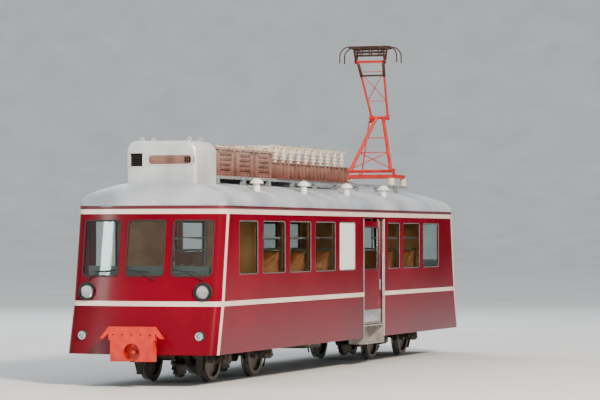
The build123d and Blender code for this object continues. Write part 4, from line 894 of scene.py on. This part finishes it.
def liftingEye():
    deselectAll()
    bpy.ops.mesh.primitive_torus_add(
        major_segments=20, minor_segments=8, major_radius=0.03, minor_radius=0.008,
        rotation=(math.radians(90), 0, 0), location=(0, 0, 0.034),
    )
    ring = settle(bpy.context.object)
    return smooth(joined([ring, rod((0, 0, -0.001), (0, 0, 0.01), 0.018)]), 50)


eyePlaces = [moved(side * 0.42, y, fairing["top"]) for side in sides for y in fairing["eyes"]]
finishPiece("fairingEyes", spread(liftingEye(), eyePlaces), "silverFairingPaint")

# resistor boxes: blades in the louvres, clamped lids with stiffening ribs, bolts and lifting eyes
resistor = {
    "first": -4.97, "pitch": 0.97, "count": 3, "half": 0.6, "lidHalf": 0.63, "lidTop": 3.938,
    "louvreLow": 3.577, "louvrePitch": 0.084, "bladeSize": (0.004, 0.556, 0.062), "bladeLean": 38,
    "ribSize": (1.16, 0.028, 0.014), "ribs": (-0.3, -0.1, 0.1, 0.3), "clampSize": (0.02, 0.04, 0.07),
}
middles = [resistor["first"] + number * resistor["pitch"] for number in range(resistor["count"])]
bladePlaces = [
    moved(side * (resistor["half"] - 0.025), middle, resistor["louvreLow"] + row * resistor["louvrePitch"])
    @ rotated(side * resistor["bladeLean"], "Y")
    for side in sides for middle in middles for row in range(4)
]
blade = block(resistor["bladeSize"], edge=0.001)
finishPiece("resistorBlades", spread(blade, bladePlaces), "scorchedSteel")
lidParts = []
boltPlaces = []
for middle in middles:
    for shift in resistor["ribs"]:
        lidParts.append(block(resistor["ribSize"], (0, middle + shift, resistor["lidTop"] + 0.006)))
    for side in sides:
        for shift in (-0.34, 0.34):
            place = (side * (resistor["lidHalf"] + 0.004), middle + shift, resistor["lidTop"] - 0.03)
            lidParts.append(block(resistor["clampSize"], place, 0.003))
        bolts = [(middle - 0.36 + step * 0.18, z) for step in range(5) for z in (3.5, 3.89)]
        rows = [3.58 + row * resistor["louvrePitch"] for row in range(4)]
        bolts += [(middle + shift, z) for z in rows for shift in (-0.33, 0.33)]
        boltPlaces += [facing((side, 0, 0), (side * resistor["half"], y, z)) for y, z in bolts]
    for shift in (-0.4, 0.4):
        boltPlaces += [moved(-0.5 + 0.25 * step, middle + shift, resistor["lidTop"]) for step in range(5)]
finishPiece("resistorLidRibs", lidParts, "scorchedSteel")
finishPiece("resistorBolts", spread(boltHead(0.011, 0.009), boltPlaces), "zincRail")
eyePlaces = [
    moved(side * 0.5, middle + shift, resistor["lidTop"])
    for side in sides for middle in middles for shift in (-0.36, 0.36)
]
finishPiece("resistorEyes", spread(liftingEye(), eyePlaces), "scorchedSteel")

# grid cassettes: cast grid plates stacked on tie rods in each, and zigzag ribbons between clamps on the bank
bank = {
    "start": -2.38, "pitch": 0.856, "count": 5,
    "barX": 0.51, "barTop": 4.078, "barLow": 4.03,
    "plateZ": 3.618, "plateFirst": -0.355, "platePitch": 0.0245, "plateCount": 30,
    "tieX": 0.5, "tieHalf": 0.385, "tieZ": (3.55, 3.69), "tieRadius": 0.011,
    "ribbonZ": 3.83, "ribbonStart": -0.4, "ribbonPitch": 0.0667, "ribbonPoints": 13, "ribbonSwing": 0.05,
}
platePlaces = []
clampPlaces = []
tieRods = []
ribbons = []
for number in range(bank["count"]):
    middle = bank["start"] + (number + 0.5) * bank["pitch"]
    for step in range(bank["plateCount"]):
        platePlaces.append(moved(0, middle + bank["plateFirst"] + step * bank["platePitch"], bank["plateZ"]))
    for side in sides:
        for z in bank["tieZ"]:
            ends = [(side * bank["tieX"], middle + part * bank["tieHalf"], z) for part in sides]
            tieRods.append(rod(*ends, bank["tieRadius"], 10))
    for part in sides:
        y = middle + part * bank["pitch"] / 4
        clampPlaces += [moved(side * bank["barX"], y, bank["barTop"] - 0.002) for side in sides]
        zigzag = []
        for step in range(bank["ribbonPoints"]):
            swing = bank["ribbonSwing"] if step % 2 else -bank["ribbonSwing"]
            x = bank["ribbonStart"] + step * bank["ribbonPitch"]
            zigzag.append((x, y + swing, bank["ribbonZ"] + 0.02 * (step % 2)))
        ends = [
            [(side * bank["barX"], y, bank["barLow"]), (side * 0.44, y, bank["ribbonZ"] + 0.01)]
            for side in sides
        ]
        ribbons.append(bentTube(ends[0] + zigzag + ends[1][::-1], 0.008, 0.012, roundness=1))
plate = block((1.08, 0.004, 0.24), edge=0.0012)
finishPiece("gridPlates", spread(plate, platePlaces), "scorchedSteel")
finishPiece("gridTieRods", tieRods, "glazedPorcelain")
finishPiece("gridRibbons", ribbons, "scorchedSteel")
clampBolts = spread(boltHead(0.012, 0.012), [moved(0.03, 0, 0.012), moved(-0.03, 0, 0.012)])
clamp = joined([block((0.09, 0.05, 0.016), (0, 0, 0.006), 0.003), clampBolts])
finishPiece("bankClamps", spread(clamp, clampPlaces), "zincRail")
print("stage: roof equipment")

# pantograph trimmings: copper wear strips, bars of the head, bolts, nuts at the shafts, ties, sleeves, posts
panto = {
    "y": 5.25, "pivotZ": 3.778, "kneeY": 5.9, "kneeZ": 4.904, "headZ": 6.030, "top": 6.34,
    "stripSize": (0.192, 0.036, 0.008), "stripPitch": 0.196, "stripY": 0.16,
    "bars": ((6.285, 0.36), (6.22, 0.34), (6.155, 0.33)), "barY": 0.12, "uprights": (-0.2, 0.0, 0.2),
    "boltPitch": 0.18, "boltY": 0.18, "posts": (0.57, 0.42), "postFoot": 3.468,
}
copperStrips = []
headBars = []
headBolts = []
for end in sides:
    for part in range(4):
        place = ((part - 1.5) * panto["stripPitch"], panto["y"] + end * panto["stripY"], panto["top"] - 0.003)
        copperStrips.append(block(panto["stripSize"], place, 0.0015))
    y = panto["y"] + end * panto["barY"]
    for z, half in panto["bars"]:
        place = (0, y - end * (panto["bars"][0][0] - z) * 0.5, z)
        headBars.append(block((2 * half, 0.014, 0.036), place))
    for x in panto["uprights"]:
        headBars.append(rod((x, y, 6.3), (x, y - end * 0.07, 6.14), 0.011, 10))
    for step in range(5):
        place = ((step - 2) * panto["boltPitch"], panto["y"] + end * panto["boltY"], panto["top"] - 0.014)
        headBolts.append(facing((0, end, 0), place))
finishPiece("contactStrips", copperStrips, "contactCopper", "panto_head")
finishPiece("headBars", headBars, "collectorBrown", "panto_head")
finishPiece("headBolts", spread(boltHead(0.007, 0.008), headBolts), "springSteel", "panto_head")
for name, body, x, y, z, size in (
    ("headShaftNuts", "panto_upper_arm", 0.332, panto["y"], panto["headZ"], (0.024, 0.016)),
    ("kneeNuts", "panto_lower_arm", 0.2, panto["kneeY"], panto["kneeZ"], (0.028, 0.018)),
):
    nutPlaces = [facing((side, 0, 0), (side * x, y, z)) for side in sides]
    finishPiece(name, spread(boltHead(*size), nutPlaces), "zincRail", body)
knee = (panto["kneeY"], panto["kneeZ"])
arms = (
    {"name": "lowerArmTies", "body": "panto_lower_arm", "low": (0.44, panto["y"], panto["pivotZ"]),
     "high": (0.075, *knee), "radius": 0.011,
     "ties": ((0.35, 0.35, 1), (0.62, 0.62, 1), (0.05, 0.35, 1), (0.05, 0.35, -1))},
    {"name": "upperArmTies", "body": "panto_upper_arm", "low": (0.175, *knee),
     "high": (0.27, panto["y"], panto["headZ"]), "radius": 0.009,
     "ties": ((0.3, 0.3, 1), (0.3, 0.82, 1), (0.3, 0.82, -1), (0.82, 0.82, 1))},
)
for arm in arms:
    # cross members and wire braces between the two tubes, each end given as a share of the arm's length
    ties = []
    for start, end, side in arm["ties"]:
        places = [Vector(arm["low"]).lerp(Vector(arm["high"]), share) for share in (start, end)]
        places[0].x *= side
        places[1].x *= -side
        ties.append(rod(*places, arm["radius"], 10))
    finishPiece(arm["name"], ties, "pantographRed", arm["body"])
sleeves = []
for side in sides:
    low = (side * 0.245, panto["kneeY"] - 0.475, panto["kneeZ"] + 0.822)
    sleeves.append(rod(low, (side * 0.2685, panto["y"] + 0.025, panto["headZ"] - 0.043), 0.031, 20))
crossY, crossZ = panto["y"] + 0.16, panto["headZ"] - 0.278
sleeves.append(rod((-0.25, crossY, crossZ), (0.25, crossY, crossZ), 0.02))
finishPiece("armSleeves", sleeves, "collectorBrown", "panto_upper_arm")
sheds = [
    (radius, low + number * 0.045)
    for number in range(3) for radius, low in ((0.0615, 0.026), (0.076, 0.03), (0.076, 0.038), (0.066, 0.052))
]
foot = (0.0615, 0.006)
post = turned([foot, *sheds, (0.0615, 0.154), (0.0605, 0.154), (0.0605, 0.006), foot], steps=32)
postX, postY = panto["posts"]
postPlaces = [
    moved(side * postX, panto["y"] + end * postY, panto["postFoot"]) for side in sides for end in sides
]
finishPiece("basePosts", spread(post, postPlaces), "glazedPorcelain")
print("stage: pantograph")

# doorways: bright jambs and rails, rubber noses, flush pulls and kick plates on the leaves, studded treads
door = {
    "start": 0.65, "end": 1.95, "middle": 1.3, "jambZ": 1.652, "jambHeight": 2.24,
    "leafEnd": 1.97, "leafX": 1.244, "glassZ": 2.2155, "noseX": 1.224, "noseZ": 1.79, "kickZ": 0.93,
    "pullY": 1.86, "pullZ": 1.52,
}
jambs = []
grabs = []
for y, way in ((door["start"], 1), (door["end"], -1)):
    jambs.append(block((0.05, 0.012, door["jambHeight"]), (1.278, y + way * 0.005, door["jambZ"]), 0.003))
    jambs.append(block((0.006, 0.034, door["jambHeight"]), (1.303, y - way * 0.012, door["jambZ"]), 0.002))
    bar = [(1.282, y + way * out, z) for out, z in ((0.01, 1.3), (0.05, 1.3), (0.05, 2.1), (0.01, 2.1))]
    grabs.append(bentTube(bar, 0.011, 0.03))
jambs.append(block((0.04, 1.28, 0.01), (1.28, door["middle"], 0.793), 0.003))
finishPiece("doorJambs", mirroredPair(joined(jambs), "X"), "brushedStainless")
finishPiece("doorGrabRails", mirroredPair(joined(grabs), "X"), "brushedStainless")
for body, flip in (("door_right", Matrix.Identity(4)), ("door_left", mirroredAcross("X"))):
    ring = windowRing(0.96, 0.815, 0.06, 0.02, 0.012)
    ring.data.transform(moved(door["leafX"] - 0.006, door["middle"], door["glassZ"]))
    nose = block((0.032, 0.014, 1.94), (door["noseX"], door["leafEnd"] - 0.004, door["noseZ"]), 0.005)
    kick = block((0.003, 1.2, 0.24), (door["leafX"] + 0.001, door["middle"], door["kickZ"]), 0.001)
    pull = windowRing(0.06, 0.2, 0.02, 0.012, 0.004)
    pull.data.transform(moved(door["leafX"] + 0.003, door["pullY"], door["pullZ"]))
    dish = block((0.003, 0.05, 0.18), (door["leafX"] + 0.0005, door["pullY"], door["pullZ"]), 0.001)
    rubber = spread(joined([ring, nose]), [flip])
    steel = spread(joined([kick, pull, dish]), [flip])
    finishPiece("leafRubber" + body[4:], rubber, "sealRubber", body)
    finishPiece("leafSteel" + body[4:], steel, "brushedStainless", body)

tread = {
    "rows": 6, "columns": 34, "start": 0.72, "run": 1.16, "steps": ((0.428, 1.04, 1.285), (0.768, 0.9, 1.19)),
}


def stud():
    # a lozenge with a smaller top
    deselectAll()
    bpy.ops.mesh.primitive_cylinder_add(vertices=4, radius=0.013, depth=0.002, location=(0, 0, 0.001))
    piece = sized((1, 0.45, 1))
    editAll()
    bpy.ops.mesh.select_all(action="DESELECT")
    bpy.ops.object.mode_set(mode="OBJECT")
    for vertex in piece.data.vertices:
        vertex.select = vertex.co.z > 0.001
    bpy.ops.object.mode_set(mode="EDIT")
    bpy.ops.transform.resize(value=(0.6, 0.6, 1))
    bpy.ops.object.mode_set(mode="OBJECT")
    return piece


studPlaces = []
plates = []
for z, x0, x1 in tread["steps"]:
    plates.append(block((x1 - x0, 1.24, 0.004), ((x0 + x1) / 2, door["middle"], z + 0.002), 0.001))
    for row in range(tread["rows"]):
        x = x0 + 0.02 + row * (x1 - x0 - 0.04) / (tread["rows"] - 1)
        for column in range(tread["columns"]):
            y = tread["start"] + column * tread["run"] / (tread["columns"] - 1)
            studPlaces.append(moved(x, y, z + 0.004) @ rotated(45 if (row + column) % 2 else -45, "Z"))
plates.append(block((0.014, 1.24, 0.022), (1.296, door["middle"], 0.42)))
treads = joined(plates + [spread(stud(), studPlaces)])
finishPiece("stepTreads", mirroredPair(treads, "X"), "galvanisedStep")
print("stage: doorways")

# underfloor boxes: lids with vents and latches, straps round the reservoirs, pipes along the sole bars
cases = (
    {"side": -1, "y0": -0.880, "y1": 0.268, "low": 0.508},
    {"side": 1, "y0": -2.359, "y1": -1.466, "low": 0.448},
    {"side": -1, "y0": -2.55, "y1": -1.275, "low": 0.448},
)
caseX, caseTop = 1.15, 0.868
lids = []
latches = []
for case in cases:
    side = case["side"]
    width, height = case["y1"] - case["y0"], caseTop - case["low"]
    y, z = (case["y0"] + case["y1"]) / 2, (case["low"] + caseTop) / 2
    lids.append(block((0.012, width - 0.09, height - 0.09), (side * (caseX + 0.004), y, z)))
    for step in range(5):
        lids.append(block((0.01, 0.16, 0.008), (side * (caseX + 0.012), y, z - 0.05 + step * 0.022), 0.002))
    x = side * (caseX + 0.014)
    for shift in (-0.32, 0.32):
        latchY = y + shift * width
        latches.append(block((0.016, 0.03, 0.055), (x, latchY, case["low"] + 0.07)))
        latches.append(rod((x, latchY - 0.04, 0.83), (x, latchY + 0.04, 0.83), 0.008, 10))
finishPiece("caseLids", lids, "dustyFramePaint")
finishPiece("caseLatches", latches, "zincRail")
tank = {
    "x": 0.18, "y": -1.78, "z": 0.7177,
    "strapIn": 0.1495, "strapOut": 0.1535, "strapHalf": 0.016, "strapsY": (-2.12, -1.45),
}
pipeRun = ((0.56, -2.6), (0.56, -1.2), (0.53, -1.0), (0.53, 0.5), (0.56, 0.7), (0.56, 2.7))
pipeZ = 0.845
strapIn, strapOut, half = tank["strapIn"], tank["strapOut"], tank["strapHalf"]
strap = ((strapIn, -half), (strapOut, -half), (strapOut, half), (strapIn, half), (strapIn, -half))
straps = []
trainPipes = []
for side in sides:
    x = side * tank["x"]
    straps += [turned(strap, (x, y, tank["z"]), "Y", 40) for y in tank["strapsY"]]
    straps.append(rod((x, tank["y"], 0.575), (x, tank["y"], 0.53), 0.012, 10))
    straps.append(rod((x - 0.03, tank["y"], 0.54), (x + 0.03, tank["y"], 0.54), 0.006, 8))
    trainPipes.append(bentTube([(side * out, y, pipeZ) for out, y in pipeRun], 0.017, 0.06))
    branch = [(x, -1.24, 0.72), (x, -1.1, 0.72), (x, -1.1, 0.86), (side * 0.3, -1.1, 0.86)]
    trainPipes.append(bentTube(branch, 0.012, 0.03))
finishPiece("reservoirStraps", straps, "dustyFramePaint")
finishPiece("trainPipes", trainPipes, "dustyFramePaint")

# bogies: bright bands on the treads, coil springs, bolted journal covers, brake shoes, sand pipes and dampers
bogie = {
    "pivot": 4.5, "halfBase": 1.05, "beamX": 0.78, "axleZ": 0.423, "wheel": 0.395,
    "coverX": 0.855, "coverBolts": 6, "boltCircle": 0.077,
    "shoeX": 0.555, "hangerX": 0.64, "hangerTop": 0.7, "beamHalf": 0.6,
    "sandPipe": ((0.76, 0.02, 0.63), (0.66, 0.01, 0.5), (0.575, 0.01, 0.14)),
    "damperX": 0.85, "damperY": 0.52, "damperZ": 0.5, "damperTop": 0.66, "damperFoot": 0.42,
    "spring": {"radius": 0.052, "wire": 0.0085, "height": 0.205, "turns": 5},
    "cover": (
        (0.0, 0.044), (0.05, 0.044), (0.058, 0.036), (0.062, 0.014), (0.09, 0.012), (0.09, -0.002),
        (0.06, -0.002), (0.054, 0.033), (0.0, 0.036),
    ),
    "band": ((0.3942, -0.036), (0.3956, -0.036), (0.3956, 0.036), (0.3942, 0.036)),
}


def coil(radius, wire, height, turns):
    # a round wire section turned upwards about Z by a screw
    deselectAll()
    bpy.ops.mesh.primitive_circle_add(
        vertices=8, radius=wire, location=(radius, 0, 0), rotation=(math.radians(90), 0, 0)
    )
    piece = settle(bpy.context.object)
    addModifier(
        piece, "SCREW", screw_offset=height / turns, iterations=turns, steps=16, render_steps=16,
        use_normal_calculate=True,
    )
    return smooth(piece, 60)


def bogieTrim(pivot, name):
    springPlaces = []
    coverPlaces = []
    coverBolts = []
    shoes = []
    dampers = []
    axleZ = bogie["axleZ"]
    for axle in sides:
        y = pivot + axle * bogie["halfBase"]
        shoeY = y - axle * (bogie["wheel"] + 0.034)
        outer = y + axle * (bogie["wheel"] + 0.075)
        for side in sides:
            springPlaces += [moved(side * bogie["beamX"], y + shift, 0.405) for shift in (-0.165, 0.165)]
            coverPlaces.append(facing((side, 0, 0), (side * bogie["coverX"], y, axleZ)))
            for step in range(bogie["coverBolts"]):
                turn = step * math.tau / bogie["coverBolts"]
                across, rise = bogie["boltCircle"] * math.cos(turn), bogie["boltCircle"] * math.sin(turn)
                place = (side * (bogie["coverX"] + 0.012), y + across, axleZ + rise)
                coverBolts.append(facing((side, 0, 0), place))
            x = side * bogie["shoeX"]
            shoes.append(block((0.08, 0.036, 0.2), (x, shoeY, axleZ), 0.008))
            shoes.append(block((0.05, 0.022, 0.11), (x, shoeY - axle * 0.026, axleZ), 0.005))
            hanger = (side * bogie["hangerX"], shoeY - axle * 0.05, bogie["hangerTop"])
            shoes.append(rod((x, shoeY - axle * 0.03, axleZ), hanger, 0.013, 10))
            pipe = [(side * out, outer - axle * back, z) for out, back, z in bogie["sandPipe"]]
            shoes.append(bentTube(pipe, 0.015, 0.06))
        beamY = y - axle * (bogie["wheel"] + 0.06)
        shoes.append(rod((-bogie["beamHalf"], beamY, axleZ), (bogie["beamHalf"], beamY, axleZ), 0.014))
        # the two dampers between this axle and the pivot
        y = pivot + axle * bogie["damperY"]
        foot, top = bogie["damperFoot"], bogie["damperTop"]
        for side in sides:
            x = side * bogie["damperX"]
            dampers.append(rod((x, y, bogie["damperZ"]), (x, y - axle * 0.11, top), 0.02, 16))
            dampers.append(rod((x, y, bogie["damperZ"]), (x, y + axle * 0.055, foot), 0.011))
            for eyeY, eyeZ in ((y + axle * 0.055, foot), (y - axle * 0.115, top + 0.008)):
                dampers.append(rod((x - side * 0.02, eyeY, eyeZ), (x + side * 0.02, eyeY, eyeZ), 0.02, 16))
    for piece, parts, finish in (
        ("bogieSprings_", spread(coil(**bogie["spring"]), springPlaces), "springSteel"),
        ("journalCovers_", spread(turned(bogie["cover"], steps=32), coverPlaces), "dustyFramePaint"),
        ("coverBolts_", spread(boltHead(0.009, 0.008), coverBolts), "springSteel"),
        ("brakeShoes_", shoes, "springSteel"),
        ("dampers_", dampers, "springSteel"),
    ):
        finishPiece(piece + name, parts, finish, "bogie_" + name)


axles = [end * bogie["pivot"] + axle * bogie["halfBase"] for end in sides for axle in sides]
for number, axleY in enumerate(axles, start=1):
    bands = [turned(bogie["band"], (side * 0.552, axleY, bogie["axleZ"]), "X", 64) for side in sides]
    finishPiece(f"treadBands{number}", bands, "polishedTread", f"wheelset_{number}")
bogieTrim(-bogie["pivot"], "front")
bogieTrim(bogie["pivot"], "rear")
print("stage: underframe and bogies")

# couplers: bolt heads round the plate and along the hood
coupler = {"plateFront": -7.645, "hoodFront": -7.705, "hoodZ": 0.86, "hoodPitch": 0.16}
plateBolts = [(x, coupler["plateFront"], z) for x in (-0.33, -0.24, 0.24, 0.33) for z in (0.47, 0.58)]
hoodBolts = [((step - 2) * coupler["hoodPitch"], coupler["hoodFront"], coupler["hoodZ"]) for step in range(5)]
bolts = spread(boltHead(0.013, 0.01), [facing((0, -1, 0), place) for place in plateBolts + hoodBolts])
finishPiece("couplerBolts", mirroredPair(bolts, "Y"), "springSteel")
print("stage: ends")

# inside: stitched vinyl cushions blown up by a cloth run, on tube frames
seat = {
    "middleX": 0.7425,
    "cushionSize": (0.85, 0.4, 0.11), "cushionY": 0.285, "cushionZ": 1.455, "cushionLean": 3,
    "backSize": (0.85, 0.09, 0.66), "backY": 0.085, "backZ": 1.86, "backLean": 4,
    "voxel": 0.025, "puff": 9.0, "frames": 16, "kept": 0.44, "tube": 0.014,
}
seatRows = (
    (1.88, 1), (3.25, -1), (3.25, 1), (4.65, -1), (4.65, 1), (6.05, -1), (6.05, 1), (7.25, -1),
    (9.06, 1), (10.12, -1), (10.12, 1), (11.52, -1),
)
clothSettings = {
    "quality": 6, "mass": 0.4, "tension_stiffness": 40, "compression_stiffness": 40, "bending_stiffness": 3,
    "use_pressure": True, "uniform_pressure_force": seat["puff"], "vertex_group_mass": "board",
}


def padShape(size, axis, heldBelow):
    # a block remeshed to an even grid and blown up like foam in its cover, held at its board
    pad = block(size, edge=0.02)
    addModifier(pad, "REMESH", mode="VOXEL", voxel_size=seat["voxel"])
    held = pad.vertex_groups.new(name="board")
    held.add([v.index for v in pad.data.vertices if v.co[axis] < heldBelow], 1.0, "REPLACE")
    makeActive(pad)
    cloth = pad.modifiers.new("Cloth", "CLOTH")
    for name, value in clothSettings.items():
        setattr(cloth.settings, name, value)
    cloth.point_cache.frame_start = 1
    cloth.point_cache.frame_end = seat["frames"]
    for number in range(1, seat["frames"] + 1):
        bpy.context.scene.frame_set(number)
    bpy.ops.object.modifier_apply(modifier=cloth.name)
    bpy.context.scene.frame_set(1)
    addModifier(pad, "SUBSURF", levels=1, render_levels=1)
    addModifier(pad, "DECIMATE", ratio=seat["kept"])
    return smooth(pad, 70)


cushionPlaces = []
backPlaces = []
framePlaces = []
for place, way in seatRows:
    y = along(place)
    turn = rotated(0 if way > 0 else 180, "Z")
    for side in sides:
        x = side * seat["middleX"]
        for part, places in (("cushion", cushionPlaces), ("back", backPlaces)):
            stand = moved(x, y + way * seat[part + "Y"], seat[part + "Z"])
            places.append(stand @ turn @ rotated(seat[part + "Lean"], "X"))
        # the leg of a frame always stands on the aisle side
        flip = mirroredAcross("X") if side * way > 0 else Matrix.Identity(4)
        framePlaces.append(moved(x, y, 0) @ turn @ flip)
legFoot = car["floorTop"]
seatFrame = joined([
    bentTube(
        [(0.42, 0.42, legFoot), (0.42, 0.42, 1.37), (0.42, 0.03, 1.37), (0.42, 0.03, 2.2), (-0.42, 0.03, 2.2),
         (-0.42, 0.03, 1.37)],
        seat["tube"], 0.05,
    ),
    bentTube([(0.42, 0.06, legFoot), (0.42, 0.06, 1.38)], seat["tube"]),
    block((0.86, 0.4, 0.02), (0, 0.26, 1.39)),
])
cushion = padShape(seat["cushionSize"], 2, -0.04)
backPad = padShape(seat["backSize"], 1, -0.03)
cushions = finishPiece("seatCushions", spread(cushion, cushionPlaces), "tanVinyl")
backs = finishPiece("seatBacks", spread(backPad, backPlaces), "tanVinyl")
seatFrames = spread(seatFrame, framePlaces)
editAll()
leaveOutward()
finishPiece("seatFrames", seatFrames, "ivoryTubeEnamel")
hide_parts("seats")

# an open door leaf needs the pocket between the seats and the wall, so linings and racks end before it
inside = {
    "ceilingZ": 2.86, "rackZ": 2.42, "rackBars": (0.98, 1.06, 1.14, 1.21), "bracketPitch": 1.1,
    "liningX": 1.236, "poleX": 0.29, "poles": (1.9, 4.65, 7.4, 9.1, 11.4), "pocket": 6.2,
}
liners = []
racks = []
for side in sides:
    liningX = side * inside["liningX"]
    for start, end in ((1.82, inside["pocket"]), (9.05, 11.5)):
        length, middle = end - start, along((start + end) / 2)
        liners.append(block((0.012, length, 0.68), (liningX, middle, 1.43), 0.003))
        liners.append(block((0.07, length, 0.022), (side * 1.21, middle, 1.782), 0.005))
    for start, end in pillars:
        middle = along((start + end) / 2)
        liners.append(block((0.012, end - start + 0.03, 1.0), (liningX, middle, 2.27), 0.003))
    for start, end in ((1.9, inside["pocket"]), (9.1, 11.4)):
        y0, y1 = along(start), along(end)
        for x in inside["rackBars"]:
            racks.append(rod((side * x, y0, inside["rackZ"]), (side * x, y1, inside["rackZ"]), 0.009, 8))
        count = int((y1 - y0) / inside["bracketPitch"]) + 1
        for step in range(count + 1):
            y = y0 + 0.02 + (y1 - y0 - 0.04) * step / count
            racks.append(block((0.27, 0.014, 0.03), (side * 1.11, y, inside["rackZ"] - 0.018)))
    for place in inside["poles"]:
        x, y = side * inside["poleX"], along(place)
        racks.append(rod((x, y, car["floorTop"]), (x, y, inside["ceilingZ"] - 0.01), 0.016, 14))
finishPiece("wallLining", liners, "tanLaminate")
ceiling = block((2.3, 9.6, 0.02), (0, -0.3, inside["ceilingZ"]))
finishPiece("ceiling", ceiling, "ceilingLaminate")
finishPiece("luggageRacks", racks, "brushedStainless")
lightZ = inside["ceilingZ"] - 0.024
lightStrips = [block((0.16, 0.9, 0.03), (0, -4.2 + 1.7 * step, lightZ), 0.012) for step in range(5)]
finishPiece("ceilingLights", lightStrips, "whiteObscuredPane")

# on each desk three gauges and a lever, the rear desk turned round from the front one
desk = {"gaugeY": -6.56, "gaugeZ": 1.97, "gauges": (0.27, 0.45, 0.63)}
dial = ((0.0, 0.004), (0.04, 0.004), (0.042, 0.018), (0.052, 0.018), (0.054, 0.0), (0.0, 0.0))
gauges = joined([turned(dial, (x, desk["gaugeY"], desk["gaugeZ"])) for x in desk["gauges"]])
levers = joined([
    rod((0.1, -6.5, 1.95), (0.1, -6.5, 2.02), 0.03, 16),
    rod((0.1, -6.5, 2.02), (0.22, -6.42, 2.05), 0.011, 10),
    rod((0.22, -6.42, 2.03), (0.22, -6.42, 2.1), 0.016),
])
for name, piece, finish, slotName in (
    ("deskGauges", gauges, "ivoryTubeEnamel", "white_pane"),
    ("deskLevers", levers, "springSteel", "underframe_grey"),
):
    finishPiece(name, [piece, copyOf(piece, rotated(180, "Z"))], finish)
print("stage: inside")

# stage, light and camera
studio = {
    "flagPlace": (44.0, 72.0, 9.0),
    "flagSize": (66.0, 18.0, 1.0),
    "flagTurn": -20,
    "sky": "#ECF1F6",
    "skyStrength": 0.85,
    "camera": (16.75, -48.7, 2.45),
    "aim": (0.25, 0.0, 3.12),
    "lens": 165.0,
}


def stagePiece(name, piece, cover, look):
    piece.name = name
    piece.data.materials.append(makeSurface(cover, look))


def buildStage():
    # a wide sweep: a flat floor that turns up into a wall far behind, so that no edge shows
    sweep = [(0.0, 0.0), (150.0, 0.0)]
    sweep += [(150 + 60 * math.sin(turn), 60 - 60 * math.cos(turn)) for turn in (0.3, 0.6, 0.9, 1.2, 1.5)]
    sweep += [(211.0, 75.0)]
    stagePiece("studioFloor", turned(sweep, steps=96), "paleStudioFloor", {
        "dark": "#D9DBDB", "light": "#E4E5E5", "patch": 3.0, "grain": 0.02, "depth": 0.0005, "bump": 0.1,
        "rough": (0.8, 0.9), "shader": {"Specular IOR Level": 0.1},
    })
    # a dark flag beside the set, mirrored in the long side so that the enamel keeps its depth
    deselectAll()
    turn = (math.radians(90), 0, math.radians(studio["flagTurn"]))
    bpy.ops.mesh.primitive_plane_add(size=1, location=studio["flagPlace"], rotation=turn)
    stagePiece("darkFlag", sized(studio["flagSize"]), "blackMolton", {
        "dark": "#101412", "light": "#1B221C", "patch": 2.0, "grain": 0.02, "depth": 0.0005, "bump": 0.1,
        "rough": (0.9, 1.0), "shader": {"Specular IOR Level": 0.0},
    })
    world = bpy.data.worlds.new("softStudio")
    bpy.context.scene.world = world
    world.use_nodes = True
    sky = world.node_tree.nodes["Background"]
    sky.inputs["Color"].default_value = toLinear(studio["sky"])
    sky.inputs["Strength"].default_value = studio["skyStrength"]


def placed(name, data, place, aim):
    # a light or camera stood at its place and turned to what it looks at
    thing = bpy.data.objects.new(name, data)
    thing.location = place
    thing.rotation_mode = "QUATERNION"
    thing.rotation_quaternion = (Vector(aim) - Vector(place)).to_track_quat("-Z", "Y")
    bpy.context.scene.collection.objects.link(thing)
    return thing


def addSoftbox(name, place, aim, size, power, colour):
    light = bpy.data.lights.new(name, "AREA")
    light.shape = "RECTANGLE"
    light.size, light.size_y = size
    light.energy = power
    light.color = toLinear(colour)[:3]
    placed(name, light, place, aim)


buildStage()
addSoftbox("keySoftbox", (30, -30, 26), (0, 0, 1.5), (7, 5), 36000, "#FFF1DC")
addSoftbox("frontSoftbox", (-19, -30, 9), (0, -6, 1.5), (2.2, 8), 1500, "#CFF2EC")
addSoftbox("rearSoftbox", (-18, 26, 22), (0, 2, 2), (22, 12), 6000, "#F4F7FF")
lens = bpy.data.cameras.new("photoCamera")
lens.lens = studio["lens"]
lens.clip_start, lens.clip_end = 0.5, 900
bpy.context.scene.camera = placed("photoCamera", lens, studio["camera"], studio["aim"])
print("stage: studio")
